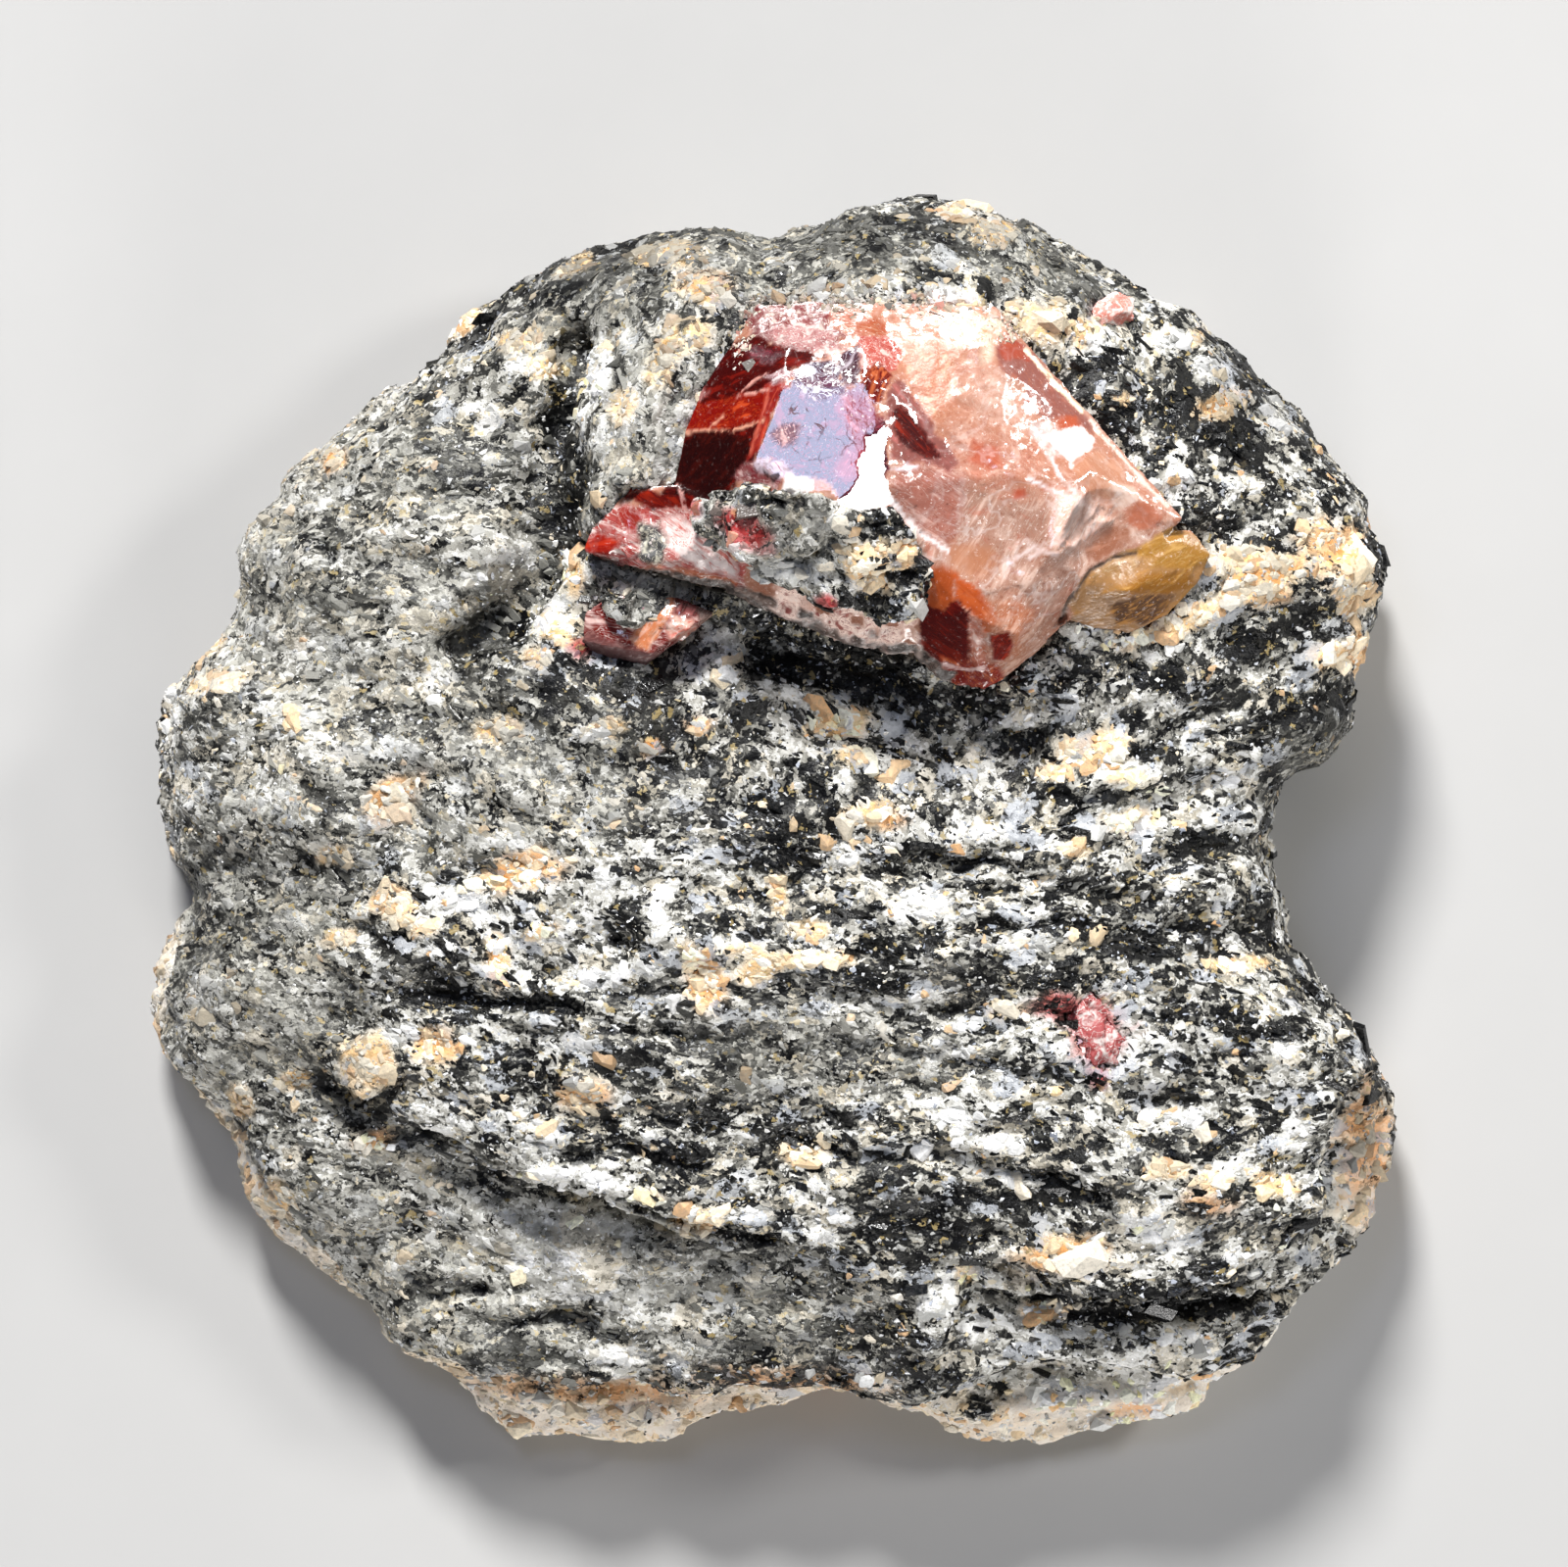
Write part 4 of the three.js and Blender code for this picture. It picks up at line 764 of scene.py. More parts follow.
def relaxed(points, quads, rounds):
    """Evens out a net by drawing each point towards its neighbours."""
    for _ in range(rounds):
        ring = np.zeros_like(points)
        count = np.zeros(len(points))
        for a, b in ((0, 1), (1, 2), (2, 3), (3, 0)):
            for start, end in ((a, b), (b, a)):
                for axis in range(3):
                    ring[:, axis] += np.bincount(quads[:, start], points[quads[:, end], axis], len(points))
                count += np.bincount(quads[:, start], minlength=len(points))
        points = points + SMOOTHING * (ring / count[:, None] - points)
    return points


def rock_surface(node, pitch, relief):
    """The node's shape with broken layers, lumps and pits in its surface, and how deep it is pitted, which
    the material turns into painted shade in the hollows.
    """
    slab = node == "gneiss_matrix"
    points, quads = remeshed(*welded(*arrays(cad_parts[node])), pitch)
    points = relaxed(points, quads, ROCK_ROUNDS if slab else CRUST_ROUNDS)
    normal = normals_of(points, quads)
    base = smooth(0.3, 1.2, points[:, 2]) if slab else np.ones(len(points))
    layer = flow(points)
    splinter = layer * SPLINTER
    up = 0.30 * fractal(splinter / 1.5, 3, 5)
    phase = layer[:, 1] / LAYER_GAP + 0.8 * wave(splinter / 2.5, 9) + layer[:, 2] / 3.0
    saw = phase - np.floor(phase)
    up += 0.22 * (saw - 0.5) * smooth(-0.4, 0.5, wave(points / 4.0, 12))
    _, gap, tag = cells(splinter * [2.2, 1.15, 1.15], 21)
    up += 0.20 * (tag - 0.5) * smooth(0.0, 0.25, gap)
    up += 0.10 * fractal(points / 0.55, 2, 41)
    if slab:
        up += ledge_relief(points) * smooth(0.2, 0.6, normal[:, 2])
    points = points + normal * (up * relief * base)[:, None]
    points[:, 2] = np.maximum(points[:, 2], 0.0)
    # the last value is painted shade for the low places
    return points, quads, smooth(0.05, -0.75, up)


# how near a crystal the rock rises, how near it is drawn against it, and how far it is sunk in
RISE_FROM, HUG_FROM, HUG_SINK = 1.4, 0.9, 0.12


def hug(points):
    """Draws the rock's surface up to the crystals and raggedly up their sides, so no open gap shows."""
    for tree in crystal_trees:
        _, _, gap = nearest(tree, points, RISE_FROM)
        near = smooth(RISE_FROM, 0.5, np.where(np.isfinite(gap), gap, RISE_FROM))
        climb = smooth(-0.3, 0.7, wave(points / 1.1, 91) + 0.5 * wave(points / 0.45, 92))
        behind = smooth(11.5, 13.0, points[:, 1])
        left = smooth(3.0, -1.0, points[:, 0])
        points[:, 2] += near * climb * (0.35 * (1 - left) + left * behind * 0.85)
        at, normal, gap = nearest(tree, points, HUG_FROM)
        close = gap < HUG_FROM
        inward = at - normal * HUG_SINK
        share = smooth(HUG_FROM, HUG_FROM * 0.55, np.where(close, gap, HUG_FROM))
        points[close] += (inward[close] - points[close]) * share[close, None]
    return points


def triangles(quads):
    """Quads cut into triangles; triangles stay as they are."""
    return np.concatenate([quads[:, [0, 1, 2]], quads[:, [0, 2, 3]]]) if quads.shape[1] == 4 else quads


crystal_names = ["zircon_main", "zircon_side", "zircon_small_north", "zircon_small_south"]
crystal_shapes = {n: welded(*arrays(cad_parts[n])) for n in crystal_names}
crystal_trees = [tree_of(*shape) for shape in crystal_shapes.values()]

gneiss = rock_material()


def rock(name, node, pitch, relief):
    """One piece of rock, with the attributes that its material reads."""
    points, quads, pit_shade = rock_surface(node, pitch, relief)
    points = hug(points)
    if node == "crust_on_side":
        # its east end stays low and ragged
        points[:, 2] -= 0.9 * smooth(-6.9, -6.1, points[:, 0] + 0.3 * wave(points / 0.6, 95))
    obj = build(name, points, quads, gneiss)
    attribute(obj, "flow", flow(points))
    attribute(obj, "pit_shade", pit_shade)
    attribute(obj, "tone_and_painted_light", tone_and_painted_light(points))
    zone = zones(points)
    attribute(obj, "tinge", tinge(zone))
    for key in ("cream", "white", "dark", "dust", "pale"):
        attribute(obj, key, zone[key])
    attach(obj, "root")
    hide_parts(node)
    return points, quads


rocks = [
    rock("gneiss", "gneiss_matrix", ROCK_PITCH, 1.0),
    rock("crust_main", "crust_on_main", CRUST_PITCH, 0.5),
    rock("crust_side", "crust_on_side", CRUST_PITCH, 0.4),
]

# ---------------------------------------------------------------- grains on the rock


# radians from one point to the next on a spiral that covers a ball evenly
GOLDEN = 2.399963


def gem(corners, seed):
    """An angular block: the hull of points spread over a ball, as a template for grains."""
    r = np.random.default_rng(seed)
    i = np.arange(corners) + 0.5
    up = 1 - 2 * i / corners
    turn = i * GOLDEN + r.uniform(-0.5, 0.5, corners)
    out = np.sqrt(1 - up * up)
    p = np.stack([out * np.cos(turn), out * np.sin(turn), up], axis=1) * r.uniform(0.78, 1.12, (corners, 1))
    bm = bmesh.new()
    for q in p:
        bm.verts.new(q)
    bmesh.ops.convex_hull(bm, input=bm.verts)
    bm.verts.ensure_lookup_table()
    bmesh.ops.triangulate(bm, faces=bm.faces)
    bmesh.ops.recalc_face_normals(bm, faces=bm.faces)
    loose = [v for v in bm.verts if not v.link_faces]
    bmesh.ops.delete(bm, geom=loose, context="VERTS")
    bm.verts.index_update()
    points = np.array([v.co[:] for v in bm.verts])
    faces = np.array([[v.index for v in f.verts] for f in bm.faces], np.int32)
    bm.free()
    return points, faces


FLAKE_POINTS = np.array(
    [[-1, -0.5, -1], [0.9, -0.7, -1], [1, 0.6, -1], [-0.8, 0.8, -1],
     [-0.9, -0.6, 1], [0.8, -0.8, 1], [0.95, 0.4, 1], [-0.7, 0.7, 1]], float)
FLAKE_FACES = np.array(
    [[0, 3, 2], [0, 2, 1], [4, 5, 6], [4, 6, 7], [0, 1, 5], [0, 5, 4],
     [1, 2, 6], [1, 6, 5], [2, 3, 7], [2, 7, 6], [3, 0, 4], [3, 4, 7]], np.int32)


GEMS = [gem(9, 100 + k) for k in range(14)]
BLOCKS = [gem(13, 300 + k) for k in range(12)]
CHIPS = [gem(6, 200 + k) for k in range(10)]
BOULDERS = [gem(24, 400 + k) for k in range(8)]

all_points, all_tris, start = [], [], 0
for points, quads in rocks:
    all_points.append(points)
    all_tris.append(triangles(quads) + start)
    start += len(points)
ROCK_POINTS, ROCK_TRIS = np.concatenate(all_points), np.concatenate(all_tris)
ROCK_NORMALS = normals_of(ROCK_POINTS, ROCK_TRIS)
CORNERS = ROCK_POINTS[ROCK_TRIS]
EDGES = CORNERS[:, 1] - CORNERS[:, 0], CORNERS[:, 2] - CORNERS[:, 0]
TRI_AREA = np.linalg.norm(np.cross(*EDGES), axis=1) / 2
TRI_MIDDLE = CORNERS.mean(axis=1)
TRI_ZONES = zones(TRI_MIDDLE)
TRI_BASE = smooth(0.25, 0.9, TRI_MIDDLE[:, 2])


def scatter(count, density):
    """Seeded places on the rock, more of them where density is high."""
    weight = TRI_AREA * np.maximum(density, 0) * TRI_BASE
    picked = rng.choice(len(TRI_AREA), count, p=weight / weight.sum())
    share = rng.dirichlet((1, 1, 1), count)
    place = (ROCK_POINTS[ROCK_TRIS[picked]] * share[..., None]).sum(axis=1)
    normal = (ROCK_NORMALS[ROCK_TRIS[picked]] * share[..., None]).sum(axis=1)
    normal /= np.linalg.norm(normal, axis=1, keepdims=True)
    return place, normal


def tones(count, *colours):
    """A random colour for each grain, between neighbours in a list of colours."""
    colours = np.array(colours)
    at = rng.random(count) * (len(colours) - 1)
    low = at.astype(int)
    return colours[low] + (colours[low + 1] - colours[low]) * (at - low)[:, None]


POWDER = ((0.09, 0.088, 0.076), (0.30, 0.295, 0.26), (0.50, 0.49, 0.44))
DUSTED, REDDENED, TONE_AND_LIGHT_GAIN, LIGHTEST = 0.62, 0.8, 3.5, 0.9
# share of its tile on the flat colour sheet that a grain reaches from the middle
TILE_SHARE = 0.36


def swung(a, b, angle):
    """Two square directions for each grain, swung towards each other by its angle."""
    c, s = np.cos(angle)[:, None], np.sin(angle)[:, None]
    return a * c + b * s, b * c - a * s


def grains(name, templates, place, normal, size, turn, tilt, sunk, tint, material):
    """One mesh of many grains that lie along the layers. size is half length, width and height for each."""
    count = len(place)
    forward = along_flow(place)
    forward -= normal * (forward * normal).sum(axis=1, keepdims=True)
    forward /= np.maximum(np.linalg.norm(forward, axis=1, keepdims=True), 1e-9)
    forward, side = swung(forward, np.cross(normal, forward), turn)
    side, up = swung(side, normal, tilt)
    forward, up = swung(forward, up, tilt * 0.5)
    middle = place - normal * sunk[:, None]
    zone = zones(place)
    tint = mix(tint, tones(count, *POWDER), DUSTED * zone["dust"])
    # grains take the rock's broad tone with its painted light and shade
    tint = np.minimum(tint * np.exp(TONE_AND_LIGHT_GAIN * tone_and_painted_light(place))[:, None], LIGHTEST)
    tint = tint * mix(np.ones((count, 3)), np.array([0.9, 0.25, 0.25]), REDDENED * zone["red"])
    kind = rng.integers(0, len(templates), count)
    points, faces, colours, maps = [], [], [], []
    start = 0
    across = math.ceil(math.sqrt(count))
    for k, (shape, shape_faces) in enumerate(templates):
        own = np.flatnonzero(kind == k)
        scaled = shape[None] * size[own][:, None, :]
        there = (
            middle[own][:, None]
            + scaled[..., :1] * forward[own][:, None]
            + scaled[..., 1:2] * side[own][:, None]
            + scaled[..., 2:] * up[own][:, None]
        )
        points.append(there.reshape(-1, 3))
        steps = np.arange(len(own)) * len(shape) + start
        faces.append((shape_faces[None] + steps[:, None, None]).reshape(-1, 3))
        start += len(own) * len(shape)
        colours.append(np.repeat(tint[own], len(shape), axis=0))
        tile = np.stack([own % across, own // across], axis=1) + 0.5
        maps.append(((tile[:, None] + TILE_SHARE * shape[None, :, :2]) / across).reshape(-1, 2))
    points, faces = np.concatenate(points), np.concatenate(faces)
    points[:, 2] = np.maximum(points[:, 2], 0.0)
    obj = build(name, points, faces, material, False)
    attribute(obj, "tint", np.concatenate(colours))
    layer = obj.data.uv_layers.new(name="OFBake")
    corner = np.zeros(len(obj.data.loops), np.int32)
    obj.data.loops.foreach_get("vertex_index", corner)
    spread_out = np.ascontiguousarray(np.concatenate(maps)[corner], np.float32)
    layer.uv.foreach_set("vector", spread_out.ravel())
    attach(obj, "root")


def sizes(count, middle, spread, aspect, height):
    """Half length, half width and half height for each grain."""
    long = middle * np.exp(spread * rng.standard_normal(count))
    wide = long / rng.uniform(*aspect, count)
    return np.stack([long, wide, wide * rng.uniform(*height, count)], axis=1)


def sprinkle(kind, place, normal):
    """A joined mesh of one kind of small grain at these places."""
    count = len(place)
    size = sizes(count, *kind["size"])
    tint = tones(count, *kind["tones"])
    turn = rng.normal(0, kind["turn"], count)
    tilt = rng.normal(0, kind["tilt"], count)
    sunk = size[:, 2] * rng.uniform(*kind["sunk"], count)
    grains(kind["name"], kind["shapes"], place, normal, size, turn, tilt, sunk, tint, kind["material"])


white_grain = grain_material("quartz", 0.35, 0.4, 0.3)
cream_grain = grain_material("feldspar", 0.55, 0.3, 0.4)
black_grain = grain_material("biotite", 0.26, 0.3, 0.08)
dull_grain = grain_material("hornblende", 0.45, 0.2, 0.2)
bright_grain = grain_material("muscovite", 0.2, 0.9, 0.1)

# Kinds of small grain. density: its base, then what each zone adds. size: middle half length and its
# spread, length over width, height over width. turn and tilt: spreads in radians. sunk: share of the half
# height that the middle lies under the surface.
KINDS = [
    dict(
        name="grains_quartz", count=7200, shapes=GEMS, material=white_grain,
        density=(0.3, ("white", 3.0), ("dark", -0.25), ("pale", 0.5), ("cream", 0.3)),
        size=(0.21, 0.45, (1.0, 1.9), (0.5, 0.8)), turn=0.5, tilt=0.3, sunk=(0.3, 0.8),
        tones=((0.30, 0.30, 0.285), (0.48, 0.48, 0.46), (0.66, 0.66, 0.64), (0.84, 0.84, 0.83)),
    ),
    dict(
        name="grains_feldspar", count=5000, shapes=BLOCKS, material=cream_grain,
        density=(0.05, ("cream", 3.4), ("pale", 1.0), ("white", 0.4)),
        size=(0.34, 0.42, (1.0, 1.6), (0.5, 0.8)), turn=0.9, tilt=0.3, sunk=(0.35, 0.75),
        tones=((0.66, 0.38, 0.18), (0.80, 0.60, 0.37), (0.88, 0.76, 0.56), (0.90, 0.85, 0.75)),
    ),
    dict(
        name="grains_biotite", count=5600, shapes=GEMS[:6] + [(FLAKE_POINTS, FLAKE_FACES)],
        material=black_grain,
        density=(0.4, ("dark", 1.6), ("white", -0.38), ("cream", -0.38), ("pale", -0.4), ("dust", -0.3)),
        size=(0.33, 0.42, (1.6, 3.4), (0.3, 0.7)), turn=0.25, tilt=0.5, sunk=(0.0, 0.9),
        tones=((0.001, 0.001, 0.0015), (0.003, 0.0035, 0.004), (0.010, 0.011, 0.013)),
    ),
    dict(
        name="grains_salt", count=13500, shapes=CHIPS, material=white_grain,
        density=(0.5, ("white", 1.2), ("pale", 0.4), ("dust", 0.3), ("dark", -0.3)),
        size=(0.095, 0.35, (1.0, 1.5), (0.7, 1.0)), turn=1.0, tilt=0.5, sunk=(-0.2, 0.5),
        tones=((0.36, 0.36, 0.34), (0.58, 0.58, 0.56), (0.84, 0.84, 0.83)),
    ),
    dict(
        name="grains_pepper", count=12500, shapes=CHIPS, material=dull_grain,
        density=(0.5, ("dark", 0.8), ("white", -0.3), ("pale", -0.47), ("cream", -0.35), ("dust", -0.25)),
        size=(0.14, 0.4, (1.0, 2.0), (0.6, 0.9)), turn=0.6, tilt=0.5, sunk=(-0.1, 0.6),
        tones=((0.002, 0.002, 0.002), (0.005, 0.0055, 0.005), (0.03, 0.031, 0.027)),
    ),
    dict(
        name="grains_muscovite", count=9000, shapes=CHIPS, material=bright_grain,
        density=(0.4, ("dark", 0.8), ("white", 0.3), ("pale", -0.2)),
        size=(0.12, 0.35, (1.0, 1.8), (0.12, 0.25)), turn=1.2, tilt=0.6, sunk=(-0.6, 0.3),
        tones=((0.08, 0.09, 0.11), (0.36, 0.39, 0.46), (0.78, 0.80, 0.84), (0.50, 0.40, 0.20)),
    ),
]
for kind in KINDS:
    density, *shares = kind["density"]
    for zone, share in shares:
        density = density + share * TRI_ZONES[zone]
    place, normal = scatter(kind["count"], density)
    sprinkle(kind, place, normal)

# large crystals in the middle of the pale patches
ROCK_TREE = tree_of(ROCK_POINTS, ROCK_TRIS)
LARGE_FROM, LARGE_COPIES, LARGE_LIMIT = 0.7, 3, 1.3


def seated(shapes):
    """Places for large grains in the larger ellipses of a list, with their sizes."""
    place, normal, size = [], [], []
    for x, y, long, short, turn in shapes:
        longest = max(long, short)
        if longest < LARGE_FROM:
            continue
        c, s = math.cos(math.radians(turn)), math.sin(math.radians(turn))
        for _ in range(LARGE_COPIES + int(longest)):
            u, v = rng.uniform(-0.6, 0.6, 2) * (long, short)
            at, facing = drop(ROCK_TREE, x + u * c - v * s, y + u * s + v * c)
            if at is None:
                continue
            half = min(longest, LARGE_LIMIT) * rng.uniform(0.3, 0.5)
            place.append(at)
            normal.append(facing)
            size.append((half, half * rng.uniform(0.5, 0.85), half * rng.uniform(0.3, 0.45)))
    return np.array(place), np.array(normal), np.array(size)


# rind of rock grains that hides the large crystal's north edge
RIND = np.array([
    (-1.6, 21.6), (-1.1, 23.6), (-0.4, 24.5), (1.8, 24.5), (4.4, 24.0), (6.6, 24.2), (8.6, 24.0),
    (10.6, 23.4), (11.2, 22.6),
])
RIND_GRAINS, RIND_SPREAD, RIND_SHIFT = 1100, 0.28, 0.2


def rind_places():
    """Places scattered about the rind's line, on top of the crystal or the rock."""
    at = rng.random(RIND_GRAINS) * (len(RIND) - 1)
    low = at.astype(int)
    flat = RIND[low] + (RIND[low + 1] - RIND[low]) * (at - low)[:, None]
    flat = flat + rng.normal(0, RIND_SPREAD, (RIND_GRAINS, 2))
    flat[:, 1] += RIND_SHIFT
    place, normal = [], []
    for x, y in flat:
        hits = [drop(tree, x, y) for tree in (ROCK_TREE, crystal_trees[0])]
        top, facing = max((hit for hit in hits if hit[0] is not None), key=lambda hit: hit[0].z)
        place.append(top)
        normal.append(facing)
    return np.array(place), np.array(normal)


RIND_KIND = dict(
    name="grains_rind", shapes=CHIPS, material=cream_grain,
    size=(0.13, 0.5, (1.0, 1.5), (0.5, 0.8)), turn=1.0, tilt=0.4, sunk=(0.1, 0.7),
    tones=(
        (0.10, 0.09, 0.08), (0.48, 0.38, 0.28), (0.72, 0.62, 0.48), (0.84, 0.82, 0.76), (0.50, 0.20, 0.15),
    ),
)
sprinkle(RIND_KIND, *rind_places())

for name, shapes, tint, material in (
    ("large_quartz", WHITE, ((0.62, 0.62, 0.61), (0.84, 0.84, 0.83), (0.90, 0.90, 0.89)), white_grain),
    ("large_feldspar", CREAM, ((0.84, 0.66, 0.44), (0.90, 0.80, 0.62), (0.92, 0.88, 0.80)), cream_grain),
):
    place, normal, size = seated(shapes)
    count = len(place)
    turn = rng.normal(0, 0.35, count)
    tilt = rng.normal(0, 0.2, count)
    sunk = size[:, 2] * rng.uniform(0.35, 0.85, count)
    grains(name, BOULDERS, place, normal, size, turn, tilt, sunk, tones(count, *tint), material)

# ---------------------------------------------------------------- the crystals

zircon = zircon_material()

NIGHT = (0.045, 0.001, 0.001)
EMBER = (0.62, 0.045, 0.012)
FLAME = (0.80, 0.22, 0.07)
ROSE = (0.55, 0.16, 0.15)
SALMON = (0.60, 0.22, 0.125)
PEACH = (0.76, 0.42, 0.27)
CLOUD = (0.86, 0.74, 0.66)
HONEY = (0.42, 0.19, 0.035)
UMBER = (0.13, 0.06, 0.025)
VIOLET = (0.30, 0.03, 0.06)

